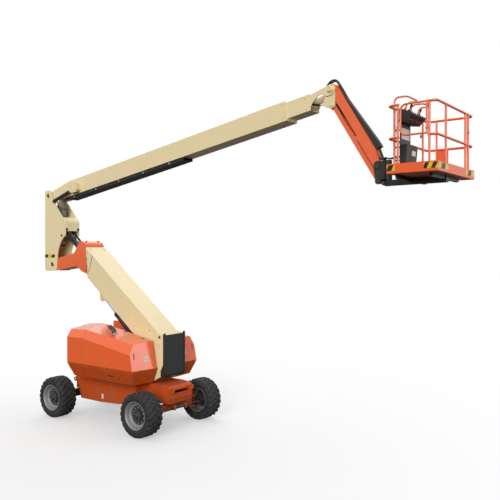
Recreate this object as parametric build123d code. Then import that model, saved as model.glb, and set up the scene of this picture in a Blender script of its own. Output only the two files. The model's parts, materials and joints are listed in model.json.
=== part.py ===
"""Articulating boom lift: chassis on four wheels, slewing turntable, telescopic tower, upright,
telescopic main boom, parallelogram jib and a swivelling work platform.

Millimetres. +X points forwards to the platform, +Y to the left, +Z up. The origin lies on the
ground, on the slewing axis.
"""

from build123d import *
from math import cos, sin, tan, radians
import os

os.makedirs("parts", exist_ok=True)

# running gear
wheelbase = 3050
track_width = 2045
tyre_radius = 510
tyre_width = 445
tyre_sides = 30
lug_height = 17
lug_count = 22
lug_width = 72
lug_slant = 24
rim_radius = 318
bead_step = 12
bead_gap = 0.4
kingpin_y = 735
kingpin_radius = 32
steer_arm = 215

# chassis frame
frame_half_width = 600
nose_half_width = 400
frame_bottom = 450
frame_top = 1070
frame_wall = 22
nose_bottom = 640
tail_half = 380
tie_down_bore = 24
slew_radius = 520

# turntable and its hoods
deck_bottom = 1110
deck_top = 1455
deck_half_width = 1100
deck_front = 1376
deck_rear = -1050
bay_inner = 400
sheet = 20
hood_split = -480
hood_gap = 8

# tower: pivot, angle above the horizontal and section (along the axis, and above it)
tower_pivot = (1380, 2020)
tower_angle = 37.5
tower_half_width = 325
tower_top = 187
tower_under = -390
tower_wall = 10
tower_end = 3520
tower_slant = 540
fly_gap = 12

# upright
upright_foot = (-2830, 3870)
upright_head = (-3000, 5740)
upright_half_width = 234
plate = 20

# main boom: angle and sections
boom_angle = 9.7
boom_length = 8020
boom_stroke_room = 580
boom_half_width = 200
boom_top = 215
boom_under = -190
boom_wall = 9
mid_half_width = 185
mid_top = 198
mid_under = -172
fly_half_width = 168
fly_top = 185
fly_under = -145
fly_end = boom_length + boom_stroke_room
pad_length = 120
slide_fit = 0.4

# jib and its levelling link
jib_pivot_along = boom_length + 1090
jib_pivot_above = 117
jib_angle = -58
jib_length = 1842
link_offset = 300
link_lean = -87
jib_half_width = 112
jib_over = 125
jib_under = -48
jib_deep = -78
link_half_depth = 40
cheek_inner = 120
cheek_outer = 145

# platform
basket_length = 915
basket_width = 1830
toe_board = 165
rail_height = 1170
mid_rail = 600
rail_radius = 23
basket_sheet = 8
swivel_reach = 155
basket_reach = 402
basket_drop = 269

pin_fit = 0.05
side_gap = 5
eye_gap = 4


class Frame:
    """A member's own plane: along its axis, and above it."""

    def __init__(self, origin, angle, above=90):
        self.origin = origin
        self.angle = angle
        turn, rise = radians(angle), radians(angle + above)
        self.axis = (cos(turn), sin(turn))
        self.up = (cos(rise), sin(rise))

    def at(self, along, above=0):
        x = self.origin[0] + along * self.axis[0] + above * self.up[0]
        z = self.origin[1] + along * self.axis[1] + above * self.up[1]
        return (x, z)


world = Frame((0, 0), 0)
tower = Frame(tower_pivot, 180 - tower_angle, above=-90)
boom = Frame(upright_head, boom_angle)
jib_pivot = boom.at(jib_pivot_along, jib_pivot_above)
jib = Frame(jib_pivot, jib_angle)
link_pivot = Frame(jib_pivot, link_lean).at(link_offset)
link = Frame(link_pivot, jib_angle)
head_pin = jib.at(jib_length)
foot_pin = link.at(jib_length)
swivel_x = head_pin[0] + swivel_reach
tip = Frame(jib_pivot, 0)


def slab(points, low, high, frame=world):
    """A plate: its side outline, from one Y to another.

    A point with a third entry is the middle of an arc between its two neighbours.
    """
    ring = points + points[:1]
    edges = []
    n = 0
    while n + 1 < len(ring):
        start = frame.at(*ring[n][:2])
        end = frame.at(*ring[n + 1][:2])
        if len(ring[n + 1]) > 2:
            n += 1
            edges.append(ThreePointArc(start, end, frame.at(*ring[n + 1][:2])))
        else:
            edges.append(Line(start, end))
        n += 1
    face = make_face(edges)
    return Pos(0, high, 0) * extrude(Plane.XZ * face, high - low)


def both(points, low, high, frame=world):
    """The same plate on the left and on the right."""
    return slab(points, low, high, frame) + slab(points, -high, -low, frame)


def bar(start, end, radius):
    """A round bar from one point to another."""
    run = Vector(*end) - Vector(*start)
    seat = Plane(origin=start, z_dir=run)
    return seat * Cylinder(radius, run.length, align=(Align.CENTER, Align.CENTER, Align.MIN))


def cross_pin(place, radius, low, high):
    """A pin, boss or bore along Y at a place in the side view."""
    return bar((place[0], low, place[1]), (place[0], high, place[1]), radius)


def block(x, y, z):
    """A box from its low and high ends on each axis."""
    low = (Align.MIN, Align.MIN, Align.MIN)
    return Pos(x[0], y[0], z[0]) * Box(x[1] - x[0], y[1] - y[0], z[1] - z[0], align=low)


def pipe(points, radius, bend):
    """A round tube: straight runs, with an elbow of one bend radius at each corner between them."""
    knots = [Vector(*p) for p in points]
    shape = None
    start = knots[0]
    for before, corner, after in zip(knots, knots[1:], knots[2:]):
        into = (corner - before).normalized()
        out = (after - corner).normalized()
        turn = into.get_angle(out)
        setback = bend * tan(radians(turn / 2))
        near = corner - into * setback
        run = bar(start, near, radius)
        axis = into.cross(out).normalized()
        centre = near + axis.cross(into) * bend
        ring = Plane(origin=centre, x_dir=near - centre, z_dir=axis)
        elbow = revolve(Plane.XZ * Pos(bend, 0) * Circle(radius), Axis.Z, revolution_arc=turn)
        shape = run + ring * elbow if shape is None else shape + run + ring * elbow
        start = corner + out * setback
    last = bar(start, knots[-1], radius)
    return last if shape is None else shape + last


def save(shape, node):
    export_step(shape, f"parts/{node}.step")


# wheels


def faceted(rows, sides):
    """A ring of flat facets about the Y axis, from its closed section of (across, radius) rows."""
    corners = []
    for across, radius in rows:
        turns = [radians(360 * n / sides) for n in range(sides)]
        corners.append([(radius * cos(t), across, radius * sin(t)) for t in turns])
    faces = []
    for row, following in zip(corners, corners[1:] + corners[:1]):
        for n in range(sides):
            m = (n + 1) % sides
            faces.append(Face(Wire.make_polygon([row[n], row[m], following[m], following[n]])))
    return Solid(Shell(faces))


def tyre():
    """Tyre with two rows of slanted lugs, about the Y axis, outer side towards -Y."""
    half = tyre_width / 2
    carcass = tyre_radius - lug_height
    bore = rim_radius - bead_step
    side = [
        # across, radius
        (half - 40, bore / cos(radians(180 / tyre_sides))),
        (half - 8, rim_radius + 34),
        (half, rim_radius + 86),
        (half - 52, carcass),
    ]
    rows = side + [(-y, r) for y, r in reversed(side)]
    ring = faceted(rows, tyre_sides)
    top = tyre_radius - 5
    lug_side = [
        (-6, carcass - 14),
        (-6, top),
        (half - 62, top),
        (half - 14, carcass - 30),
        (half - 30, carcass - 46),
    ]
    lug = Plane.YZ.offset(-lug_width / 2) * extrude(make_face(Polyline(*lug_side, close=True)), lug_width)
    middle = 0.36 * half
    lug = Pos(0, middle, 0) * Rot(0, 0, lug_slant) * Pos(0, -middle, 0) * lug
    for n in range(lug_count):
        turn = 360 * n / lug_count
        ring += Rot(0, turn, 0) * lug
        ring += Rot(0, turn + 180 / lug_count, 0) * mirror(lug, Plane.XZ)
    return ring


def rim():
    """Dished rim and planetary hub, about the Y axis, outer side towards -Y."""
    half = tyre_width / 2
    seat_radius = rim_radius - bead_step - bead_gap
    face = -half + 18
    dish = -half + 132
    lip = rim_radius + 4
    hub = [
        (face, 0),
        (face, 62),
        (face + 12, 74),
        (face + 40, 84),
        (face + 44, 122),
        (face + 84, 138),
        (dish, 142),
        (dish, 206),
    ]
    bowl = [
        (dish - 34, 262),
        (face + 16, seat_radius - 16),
        (face - 2, lip - 8),
        (face - 2, lip),
        (face + 10, lip),
        (face + 18, seat_radius),
    ]
    inside = [
        (half - 40, seat_radius),
        (half - 32, rim_radius - 14),
        (half - 42, seat_radius - 14),
        (dish + 30, seat_radius - 14),
        (dish + 20, 160),
        (half - 120, 150),
        (half - 120, 0),
    ]
    section = make_face(Polyline(*hub, *bowl, *inside, close=True))
    return revolve(Plane.YZ * section, Axis.Y)


wheel_places = {
    "front_left": (wheelbase / 2, 1),
    "front_right": (wheelbase / 2, -1),
    "rear_left": (-wheelbase / 2, 1),
    "rear_right": (-wheelbase / 2, -1),
}
tyre_solid = tyre()
rim_solid = rim()
for corner, (x, side) in wheel_places.items():
    centre = Pos(x, side * track_width / 2, tyre_radius)
    for kind, solid in (("tyre", tyre_solid), ("rim", rim_solid)):
        shape = mirror(solid, Plane.XZ) if side > 0 else solid
        save(centre * shape, f"{kind}_{corner}")

# chassis

front_axle_x = wheelbase / 2
rear_axle_x = -wheelbase / 2
axle_z = tyre_radius

wall = frame_wall
tail_x = rear_axle_x + 215
belly_x = rear_axle_x + 395
nose_x0 = front_axle_x - 125
nose_x1 = front_axle_x + 235
nose_x2 = front_axle_x + 265
join_x = front_axle_x - 625
frame_side = [
    (tail_x, frame_top),
    (tail_x, 980),
    (belly_x, frame_bottom),
    (-345, frame_bottom),
    (310, frame_bottom + 40),
    (join_x, 600),
    (join_x, frame_top),
]
frame_hollow = [
    (tail_x + 60, frame_top - wall),
    (belly_x + 10 + wall, frame_bottom + wall),
    (-345, frame_bottom + wall),
    (310, frame_bottom + 40 + wall),
    (join_x - wall, 600 + wall),
    (join_x - wall, frame_top - wall),
]
nose_side = [
    (join_x - 40, frame_top),
    (join_x - 40, 610),
    (nose_x0, nose_bottom),
    (nose_x1, nose_bottom),
    (nose_x2, 760),
    (nose_x2, 960),
    (nose_x2 - 20, 1022, "bow"),
    (nose_x2 - 70, frame_top - 20),
    (nose_x0 + 100, frame_top),
]
nose_hollow = [
    (join_x - 40, frame_top - wall),
    (join_x - 40, 632),
    (nose_x0, nose_bottom + wall),
    (nose_x2 - 45, nose_bottom + wall),
    (nose_x2 - 45, 860),
    (nose_x2 - 100, frame_top - 40),
    (nose_x0 + 100, frame_top - wall),
]
chassis = slab(frame_side, -frame_half_width, frame_half_width)
chassis -= slab(frame_hollow, -frame_half_width + wall, frame_half_width - wall)
nose = slab(nose_side, -nose_half_width, nose_half_width)
nose -= slab(nose_hollow, -nose_half_width + wall, nose_half_width - wall)
nose -= block((nose_x2 - 70, nose_x2 + 10), (-270, 270), (875, 945))
chassis += nose
tail_low = axle_z + 115
chassis += block((rear_axle_x - 70, belly_x - 20), (-tail_half, tail_half), (tail_low, 960))
tail_core = (rear_axle_x - 50, belly_x - 40)
chassis -= block(tail_core, (-tail_half + wall, tail_half - wall), (tail_low + wall, 960 - wall))
lug_thickness = 28
tie_down_places = [
    # x, y and z of the bore, and the way that the left lug points
    (rear_axle_x - 56, tail_half + 45, 860, 90),
    (nose_x2 + 65, 330, 955, 0),
]
lug_side = [(-85, -65), (-10, -58), (45, 0, "bow"), (-10, 58), (-85, 65)]
lug = slab(lug_side, -lug_thickness / 2, lug_thickness / 2)
lug -= cross_pin((0, 0), tie_down_bore, -lug_thickness, lug_thickness)
for x, y, z, way in tie_down_places:
    for side in (-1, 1):
        chassis += Pos(x, side * y, z) * Rot(0, 0, side * way) * lug
ring_height = deck_bottom - frame_top - 0.4
seat = (Align.CENTER, Align.CENTER, Align.MIN)
chassis += Pos(0, 0, frame_top) * Cylinder(slew_radius, ring_height, align=seat)
save(chassis, "chassis_frame")

# axles: square beams; the front one ends in yokes that hold the kingpins
beam = 75
yoke_gap = 120
yoke_plate = 20
yoke_half = 60
hub_face = track_width / 2 - tyre_width / 2 + 120
spindle_radius = 60


def span(side, near, far):
    """A Y range on one side of the machine."""
    return (min(side * near, side * far), max(side * near, side * far))


yoke_root = kingpin_y - 130
beam_x = (front_axle_x - beam, front_axle_x + beam)
front_axle = block(beam_x, (-yoke_root, yoke_root), (axle_z - beam, axle_z + beam))
front_axle += block((front_axle_x - 60, front_axle_x + 60), (-150, 150), (axle_z, nose_bottom))
yoke_x = (front_axle_x - yoke_half, front_axle_x + yoke_half)
for side in (-1, 1):
    for z in (axle_z - yoke_gap, axle_z + yoke_gap):
        levels = (z - yoke_plate, z + yoke_plate)
        front_axle += block(yoke_x, span(side, yoke_root - 20, kingpin_y), levels)
        front_axle += Pos(front_axle_x, side * kingpin_y, z) * Cylinder(yoke_half, 2 * yoke_plate)
    post = (axle_z - yoke_gap - yoke_plate, axle_z + yoke_gap + yoke_plate)
    front_axle += block(yoke_x, span(side, yoke_root - 20, yoke_root + 20), post)
    front_axle += Pos(front_axle_x, side * kingpin_y, axle_z) * Cylinder(kingpin_radius, 2 * yoke_gap + 60)
ram_x = front_axle_x + steer_arm
ram_z = axle_z + 20
ram_radius = 42
ram_half = 260
for side in (-1, 1):
    front_axle += block((front_axle_x, ram_x + 54), span(side, 170, 210), (ram_z - 54, ram_z + 54))
front_axle -= bar((ram_x, -300, ram_z), (ram_x, 300, ram_z), ram_radius + pin_fit)
save(front_axle, "front_axle")

axle_tube = 95
tube_end = track_width / 2 - tyre_width / 2 - side_gap
rear_axle = bar((rear_axle_x, -tube_end, axle_z), (rear_axle_x, tube_end, axle_z), axle_tube)
rear_axle += block((rear_axle_x - beam, rear_axle_x + beam), (-220, 220), (axle_z - 60, tail_low))
rear_axle += Pos(rear_axle_x, 0, axle_z) * Sphere(150)
rear_axle -= block((rear_axle_x - 200, rear_axle_x + 200), (-200, 200), (tail_low, tail_low + 100))
spindle = hub_face - 0.5
rear_axle += bar((rear_axle_x, -spindle, axle_z), (rear_axle_x, spindle, axle_z), spindle_radius)
save(rear_axle, "rear_axle")

# steering: one ram with a rod through it, and an arm on each knuckle
rod_radius = 18
rod_reach = kingpin_y - 60
rod_end = 34
steer_ram = bar((ram_x, -ram_half, ram_z), (ram_x, ram_half, ram_z), ram_radius)
steer_ram -= bar((ram_x, -ram_half - 1, ram_z), (ram_x, ram_half + 1, ram_z), rod_radius + pin_fit)
save(steer_ram, "steering_ram")
steer_rod = bar((ram_x, -rod_reach, ram_z), (ram_x, rod_reach, ram_z), rod_radius)
for side in (-1, 1):
    steer_rod += Pos(ram_x, side * rod_reach, ram_z) * Cylinder(rod_end, 30)
save(steer_rod, "steering_rod")

arm_top = ram_z - 15 - eye_gap
for name, side in (("left", 1), ("right", -1)):
    y = side * kingpin_y
    knuckle = Pos(front_axle_x, y, axle_z) * Cylinder(62, 2 * (yoke_gap - yoke_plate) - 1)
    knuckle += bar((front_axle_x, y, axle_z), (front_axle_x, side * (hub_face - 0.5), axle_z), spindle_radius)
    arm_z = (arm_top - 26, arm_top)
    knuckle += block((front_axle_x, ram_x + rod_end), span(side, kingpin_y - 30, kingpin_y + 25), arm_z)
    knuckle += block((ram_x - rod_end, ram_x + rod_end), span(side, rod_reach - 30, kingpin_y + 25), arm_z)
    knuckle -= Pos(front_axle_x, y, axle_z) * Cylinder(kingpin_radius + pin_fit, 400)
    save(knuckle, f"knuckle_{name}")

# turntable

belly = 130
front_rake = 0.204
front_skew = 0.104
cheek = tower_half_width + side_gap


def tray(inset, floor):
    """The turntable's tray: upright near its top edge, drawn in towards its floor."""
    rows = [
        # height, pulled in
        (floor, belly),
        (deck_top - 70, 18),
        (deck_top, 0),
    ]
    faces = []
    for z, pull in rows:
        x0 = deck_rear + inset + pull
        x1 = deck_front - inset - pull
        w = deck_half_width - inset - pull
        corner = x1 - front_skew * (w - bay_inner)
        outline = [(x0, -w), (corner, -w), (x1, -bay_inner), (x1, bay_inner), (corner, w), (x0, w)]
        faces.append(Plane.XY.offset(z) * make_face(Polyline(*outline, close=True)))
    return loft(faces[:2], ruled=True) + loft(faces[1:], ruled=True)


floor_z = deck_bottom + sheet
frame = tray(0, deck_bottom) - tray(sheet, floor_z)
trough = cheek + plate + side_gap
frame -= block((deck_front - 350, deck_front + 50), (-trough, trough), (floor_z, deck_top + 50))
frame -= block((deck_rear - 50, deck_rear + 200), (-trough, trough), (floor_z + 60, deck_top + 50))
hood_ridge = (2390, 2083)
tail_ridge = 2350
bay_top = 26
nose_x = deck_front - front_rake * (hood_ridge[1] - deck_top)
bay_side = [
    (deck_rear + 140, floor_z),
    (deck_front - 160, floor_z),
    (deck_front - 30, deck_top),
    (nose_x - 30, hood_ridge[1] - bay_top),
    (hood_split, hood_ridge[0] - bay_top),
    (hood_split, 1700),
    (deck_rear + 60, 1600),
    (deck_rear + 30, deck_top),
]
frame += both(bay_side, bay_inner - 22, bay_inner - 2)
cyl_foot = (930, 1400)
ear_half = 80
ear = [(-150, floor_z), (150, floor_z), (70, cyl_foot[1] + 60), (-70, cyl_foot[1] + 60)]
frame += both([(cyl_foot[0] + x, z) for x, z in ear], ear_half, ear_half + 30)
ear_pin = 35
frame += cross_pin(cyl_foot, ear_pin, -ear_half - 30, ear_half + 30)
save(frame, "turntable_frame")

# tower supports: cheeks that rise from the tray's front to the tower's pivot
support_side = [
    (1020, floor_z),
    (1230, floor_z),
    (1466, 1240),
    (1466, 1390),
    (1545, 1530),
    (1545, 2230),
    (1440, 2270),
    (1250, 2160),
    (1160, 1960),
    (1160, 1500),
    (1020, 1300),
]
supports = both(support_side, cheek, cheek + plate)
supports += slab([(1100, floor_z), (1120, floor_z), (1120, 1500), (1100, 1500)], -cheek, cheek)
tower_pin = 45
supports += cross_pin(tower_pivot, tower_pin, -cheek - plate - 12, cheek + plate + 12)
supports += cross_pin(tower_pivot, tower_pin + 30, -cheek - plate - 6, -cheek)
supports += cross_pin(tower_pivot, tower_pin + 30, cheek, cheek + plate + 6)
save(supports, "tower_support")

cover_front = 1590
cover_gap = 0.4
cover_half = cheek + plate
cover = slab(
    [(1545 + cover_gap, 1530), (cover_front, 1530), (cover_front, 2285), (1545 + cover_gap, 2255)],
    -cover_half,
    cover_half,
)
skirt = [(1466 + cover_gap, 1245), (1560, 1245), (cover_front, 1300), (cover_front, 1530)]
skirt += [(1545 + cover_gap, 1530), (1466 + cover_gap, 1390)]
cover += slab(skirt, -cover_half, cover_half)
cover -= block((cover_front - 110, cover_front - 14), (-cheek, cheek), (1600, 2300))
cover -= block((cover_front - 20, cover_front + 5), (-cheek + 25, cheek - 25), (2236, 2300))
edge_rib = [
    (cover_front, 1300),
    (cover_front + 14, 1320),
    (cover_front + 14, 2240),
    (cover_front, 2285),
]
cover += both(edge_rib, cover_half - 34, cover_half)
for rib_z in (1420, 1640, 1860, 2080):
    cover += block((cover_front, cover_front + 5), (-cover_half + 60, cover_half - 60), (rib_z, rib_z + 26))
save(cover, "front_cover")

# counterweight: two castings joined by a low bridge under the tower's trough
weight_x = deck_rear - 0.4
weight_outline = [
    (weight_x, 1170),
    (weight_x - 120, 1170),
    (weight_x - 225, 1300),
    (weight_x - 225, 1640),
    (weight_x - 205, 1695, "bow"),
    (weight_x - 150, 1720),
    (weight_x, 1720),
]
weight_out = 840
weight_in = trough + 40
weight = both(weight_outline, weight_in, weight_out)
weight += block((weight_x - 150, weight_x), (-weight_in, weight_in), (1170, 1200))
ballast = block((deck_rear + 170, hood_split - 60), (bay_inner + 40, deck_half_width - 160), (floor_z, 1750))
save(Compound([weight, ballast, mirror(ballast, Plane.XZ)]), "counterweight")

# hoods: heights of the side's top, the chamfer's top and the inner ridge
rear_heights = (2085, 2280, hood_ridge[0])
front_heights = (1822, 2052, hood_ridge[1])
tail_heights = (2080, 2262, tail_ridge)
chamfer_y = 970
deck_clear = 0.4


def section(x, heights, inset, open_side, raked):
    """One section of a hood, five corners from the outer foot over the roof to the inner foot."""
    side_top, shoulder, ridge = heights
    foot = deck_top + deck_clear - (1 if inset else 0)
    inner = bay_inner - 1 if open_side and inset else bay_inner + inset
    corners = [
        (deck_half_width - inset, foot),
        (deck_half_width - inset, side_top - 0.4 * inset),
        (chamfer_y - 0.4 * inset, shoulder - inset),
        (inner, ridge - inset),
        (inner, foot),
    ]
    if raked:
        points = [(x - front_rake * (z - deck_top) - front_skew * (y - bay_inner), y, z) for y, z in corners]
    else:
        points = [(x, y, z) for y, z in corners]
    return make_face(Polyline(*points, close=True))


def hood(x0, x1, start, end, inset, open_side, raked):
    back = section(x0, start, inset, open_side, False)
    front = section(x1, end, inset, open_side, raked)
    return loft([back, front], ruled=True)


lid_rear = hood_split + hood_gap
lid = hood(lid_rear, deck_front, rear_heights, front_heights, 0, True, True)
lid_core = hood(lid_rear - 1, deck_front - sheet, rear_heights, front_heights, sheet, True, True)
lid -= lid_core
tail = hood(deck_rear, hood_split, tail_heights, rear_heights, 0, False, False)
tail -= hood(deck_rear + sheet, hood_split - sheet, tail_heights, rear_heights, sheet, False, False)
for name, shape in (("hood", lid), ("tail_cowl", tail)):
    save(shape, f"{name}_left")
    save(mirror(shape, Plane.XZ), f"{name}_right")

engine = block((-330, 780), (-900, -480), (floor_z, 1850))
engine -= block((-315, 765), (-885, -495), (floor_z + 15, 1835))
save(engine, "engine_block")
stack_y = -690
stack_base = (270, stack_y, 2100)
stack_bend = (205, stack_y, 2300)
stack_mouth = (80, stack_y, 2370)
stack_radius = 52
stack = bar(stack_base, stack_bend, stack_radius) + Pos(*stack_bend) * Sphere(stack_radius)
stack += bar(stack_bend, stack_mouth, stack_radius)
stack -= bar(stack_bend, (stack_mouth[0] - 125, stack_y, stack_mouth[2] + 70), stack_radius - 6)
stack += bar(stack_base, (250, stack_y, 2172), stack_radius + 25)
roof = hood(lid_rear, deck_front, rear_heights, front_heights, 0, True, True)
stack -= Pos(0, 0, 0.3) * mirror(roof, Plane.XZ)
save(stack, "exhaust_stack")

# tower

mouth = tower_end
tower_cut = mouth - tower_slant
tower_outline = [
    (-68, -88),
    (-112, 10, "bow"),
    (-60, 96),
    (60, tower_top),
    (mouth, tower_top),
    (tower_cut, tower_under),
    (420, tower_under),
    (120, -260),
]
inner = tower_wall
tower_hollow = [
    (150, tower_top - inner),
    (mouth + 100, tower_top - inner),
    (tower_cut + 100, tower_under + inner),
    (430, tower_under + inner),
    (150, -250),
]
in_half = tower_half_width - inner
base = slab(tower_outline, -tower_half_width, tower_half_width, tower)
base -= slab(tower_hollow, -in_half, in_half, tower)
base -= cross_pin(tower_pivot, tower_pin + pin_fit, -400, 400)
fly_half = in_half - fly_gap
fly_upper = tower_top - inner - fly_gap
fly_lower = tower_under + inner + fly_gap
collar_out = [
    (mouth - pad_length, tower_top - inner / 2),
    (mouth - 5, tower_top - inner / 2),
    (tower_cut - 5, tower_under + inner / 2),
    (tower_cut - pad_length, tower_under + inner / 2),
]
collar = slab(collar_out, -in_half - 1, in_half + 1, tower)
channel_top = fly_upper + slide_fit
channel_low = fly_lower - slide_fit
fly_channel = [(0, channel_top), (5000, channel_top), (5000, channel_low), (0, channel_low)]
collar -= slab(fly_channel, -fly_half - slide_fit, fly_half + slide_fit, tower)
base += collar
lift_eye = (2400, -620)
bracket = [(2130, tower_under), (2700, tower_under), (2480, -655), (2400, -712, "bow"), (2320, -655)]
lug_half = 82
base += both(bracket, lug_half, lug_half + 26, tower)
for side in (-1, 1):
    ends = (side * lug_half, side * (lug_half + 40))
    base += cross_pin(tower.at(*lift_eye), 45, min(ends), max(ends))
save(base, "tower_base")

# tower fly: the inner tube, and the head that carries the upright
fly_tail = 500
fly_mouth = mouth + 30
tube_out = [
    (fly_tail, fly_upper),
    (fly_mouth, fly_upper),
    (fly_mouth - tower_slant, fly_lower),
    (fly_tail, fly_lower),
]
tube_in = [
    (fly_tail - 1, fly_upper - inner),
    (fly_mouth + 200, fly_upper - inner),
    (fly_mouth + 200, fly_lower + inner),
    (fly_tail - 1, fly_lower + inner),
]
fly = slab(tube_out, -fly_half, fly_half, tower)
fly -= slab(tube_in, -fly_half + inner, fly_half - inner, tower)
shoe_top = tower_top - inner - slide_fit
shoe_low = tower_under + inner + slide_fit
shoe_end = fly_tail + pad_length
shoe_out = [(fly_tail, shoe_top), (shoe_end, shoe_top), (shoe_end, shoe_low), (fly_tail, shoe_low)]
shoe = slab(shoe_out, -in_half + slide_fit, in_half - slide_fit, tower)
shoe -= slab(tube_in, -fly_half + inner, fly_half - inner, tower)
fly += shoe
head_end = 3850
head_wide = [
    (mouth + 6, fly_upper),
    (head_end - 25, fly_upper, "bow"),
    (head_end, fly_upper - 30),
    (head_end - 25, -260),
    (3528, -450),
    (3290, -430),
    (3110, fly_lower + 5),
]
head_wide_in = [
    (head_end - 30, fly_upper - inner),
    (head_end - 55, -245),
    (3528, -425),
    (3290, -400),
    (2900, fly_lower + inner),
    (2900, fly_upper - inner),
]
head = slab(head_wide, -fly_half, fly_half, tower)
head -= slab(head_wide_in, -fly_half + inner + 6, fly_half - inner - 6, tower)
nose_half = upright_half_width - plate - side_gap
foot = (4466, -1095)
nose_outline = [
    (3700, 268),
    (head_end + 40, 90),
    (head_end + 25, -180),
    (3940, -330),
    (4290, -735),
    (4470, -925),
    (4580, -1020),
    (4615, -1140, "bow"),
    (4530, -1235),
    (4326, -1235),
    (4064, -985),
    (3700, -590),
    (3528, -450),
    (3700, -100),
]
nose_plates = both(nose_outline, nose_half - 30, nose_half, tower)
sole = [(3700, -580), (4064, -975), (4240, -1145), (4265, -1120), (4090, -950), (3725, -555)]
nose_plates += slab(sole, -nose_half, nose_half, tower)
fly += head
fly += nose_plates
throat = [(3500, 120), (4000, 120), (4000, -560), (3500, -560)]
fly -= slab(throat, -nose_half + 30, nose_half - 30, tower)
foot_world = tower.at(*foot)
foot_radius = 42
fly -= cross_pin(foot_world, foot_radius + pin_fit, -300, 300)
level_pin = (1500, 0)
boss_in = 62
for side in (-1, 1):
    ends = (side * boss_in, side * (fly_half - inner + 1))
    fly += cross_pin(tower.at(*level_pin), 60, min(ends), max(ends))
save(fly, "tower_fly")


# hydraulic cylinders


def heading(start, end):
    """The frame along a cylinder, from its foot's pin to its rod's eye."""
    run = Vector(end[0] - start[0], 0, end[1] - start[1])
    return Frame(start, run.get_signed_angle(Vector(1, 0, 0), Vector(0, 1, 0)))


def barrel(foot_at, eye_at, y, radius, rod_radius, length, pin, width):
    """Cylinder barrel: foot eye, tube and gland."""
    line = heading(foot_at, eye_at)
    eye = pin + 22

    def point(along):
        x, z = line.at(along)
        return (x, y, z)

    body = bar(point(eye * 0.6), point(length), radius)
    body += bar(point(length - 60), point(length), radius + 4)
    body += cross_pin(foot_at, eye, y - width, y + width)
    gland = min(40, radius)
    body -= bar(point(eye + 12), point(length - gland), radius - 10)
    body -= bar(point(length - gland - 1), point(length + 1), rod_radius + pin_fit)
    reach = max(radius, width) + 5
    body -= cross_pin(foot_at, pin + pin_fit, y - reach, y + reach)
    return body


def rod(foot_at, eye_at, y, radius, barrel_radius, start, pin, width):
    """Cylinder rod: piston, rod and eye."""
    line = heading(foot_at, eye_at)
    eye = pin + 18

    def point(along):
        x, z = line.at(along)
        return (x, y, z)

    body = bar(point(start), (eye_at[0], y, eye_at[1]), radius)
    body += bar(point(start), point(start + min(40, barrel_radius)), barrel_radius - 10 - pin_fit)
    body += cross_pin(eye_at, eye, y - width, y + width)
    body -= cross_pin(eye_at, pin, y - width - 1, y + width + 1)
    return body


# upright

level_foot = (-2430, 4630)
lift_foot = (-2800, 4450)
master_foot = (-2720, 5580)
master_y = -285
upright_inner = upright_half_width - plate
back_x = -3170
elbow_x = -2262
upright_side = [
    (back_x, 5850),
    (back_x + 14, 5884, "bow"),
    (back_x + 50, 5896),
    (-2950, 5896),
    (-2890, 5860, "bow"),
    (-2868, 5790),
    (-2812, 5610),
    (elbow_x - 30, 5040),
    (elbow_x, 4985),
    (elbow_x, 4655),
    (elbow_x - 238, 4400, "bow"),
    (-2610, 4060),
    (-2642, 3720),
    (-2680, 3672),
    (back_x + 60, 3655),
    (back_x, 3715),
]
upright = both(upright_side, upright_inner, upright_half_width)
back_plate = [(back_x, 3790), (back_x + plate, 3790), (back_x + plate, 5500), (back_x, 5500)]
upright += slab(back_plate, -upright_inner, upright_inner)
box_rear = elbow_x - 230
elbow_box = [
    (elbow_x - 115, 5135),
    (elbow_x - 30, 5040),
    (elbow_x, 4985),
    (elbow_x, 4760),
    (box_rear, 4760),
    (box_rear, 5135),
]
elbow_core = [
    (elbow_x - 105, 5117),
    (elbow_x - 44, 5030),
    (elbow_x - 16, 4975),
    (elbow_x - 16, 4776),
    (box_rear + 16, 4776),
    (box_rear + 16, 5117),
]
upright += slab(elbow_box, -upright_inner, upright_inner)
upright -= slab(elbow_core, -upright_inner, upright_inner)
shelf_z = 4300
shelf_x = (back_x + plate, -2870)
shelf = [(shelf_x[0], shelf_z), (shelf_x[1], shelf_z), (shelf_x[1], shelf_z + plate)]
shelf += [(shelf_x[0], shelf_z + plate)]
upright += slab(shelf, -upright_inner, upright_inner)
foot_pin_half = upright_half_width + 14
head_pin_radius = 40
lift_pin = 30
level_pin_radius = 30
upright += cross_pin(foot_world, foot_radius, -foot_pin_half, foot_pin_half)
upright += cross_pin(upright_head, head_pin_radius, -foot_pin_half, foot_pin_half)
for place in (foot_world, upright_head):
    for side in (-1, 1):
        boss = (side * upright_half_width, side * (upright_half_width + 8))
        upright += cross_pin(place, 75, min(boss), max(boss))
upright += cross_pin(lift_foot, lift_pin, -upright_inner - 1, upright_inner + 1)
upright += cross_pin(level_foot, level_pin_radius, -upright_inner - 1, upright_inner + 1)
master_pin = 16
upright += cross_pin(master_foot, 55, -upright_half_width, -upright_inner)
upright += cross_pin(master_foot, master_pin + 14, master_y + 50, -upright_inner)
upright += cross_pin(master_foot, master_pin, master_y - 32, -upright_inner)
save(upright, "upright")

# main boom

heel_half = 188
lift_eye_at = (394, -150)
heel_side = [
    (-64, -94),
    (-116, 0, "bow"),
    (-64, 90),
    (70, 96),
    (900, boom_top),
    (980, boom_top),
    (980, boom_under),
    (260, boom_under),
    (150, -160, "bow"),
    (40, -108),
]


def tube(half, top, under, wall_thickness, start, end, frame):
    """A rectangular tube, open at both ends."""
    outer = [(start, top), (end, top), (end, under), (start, under)]
    t = wall_thickness
    inner = [(start - 1, top - t), (end + 1, top - t), (end + 1, under + t), (start - 1, under + t)]
    return slab(outer, -half, half, frame) - slab(inner, -half + t, half - t, frame)


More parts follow.
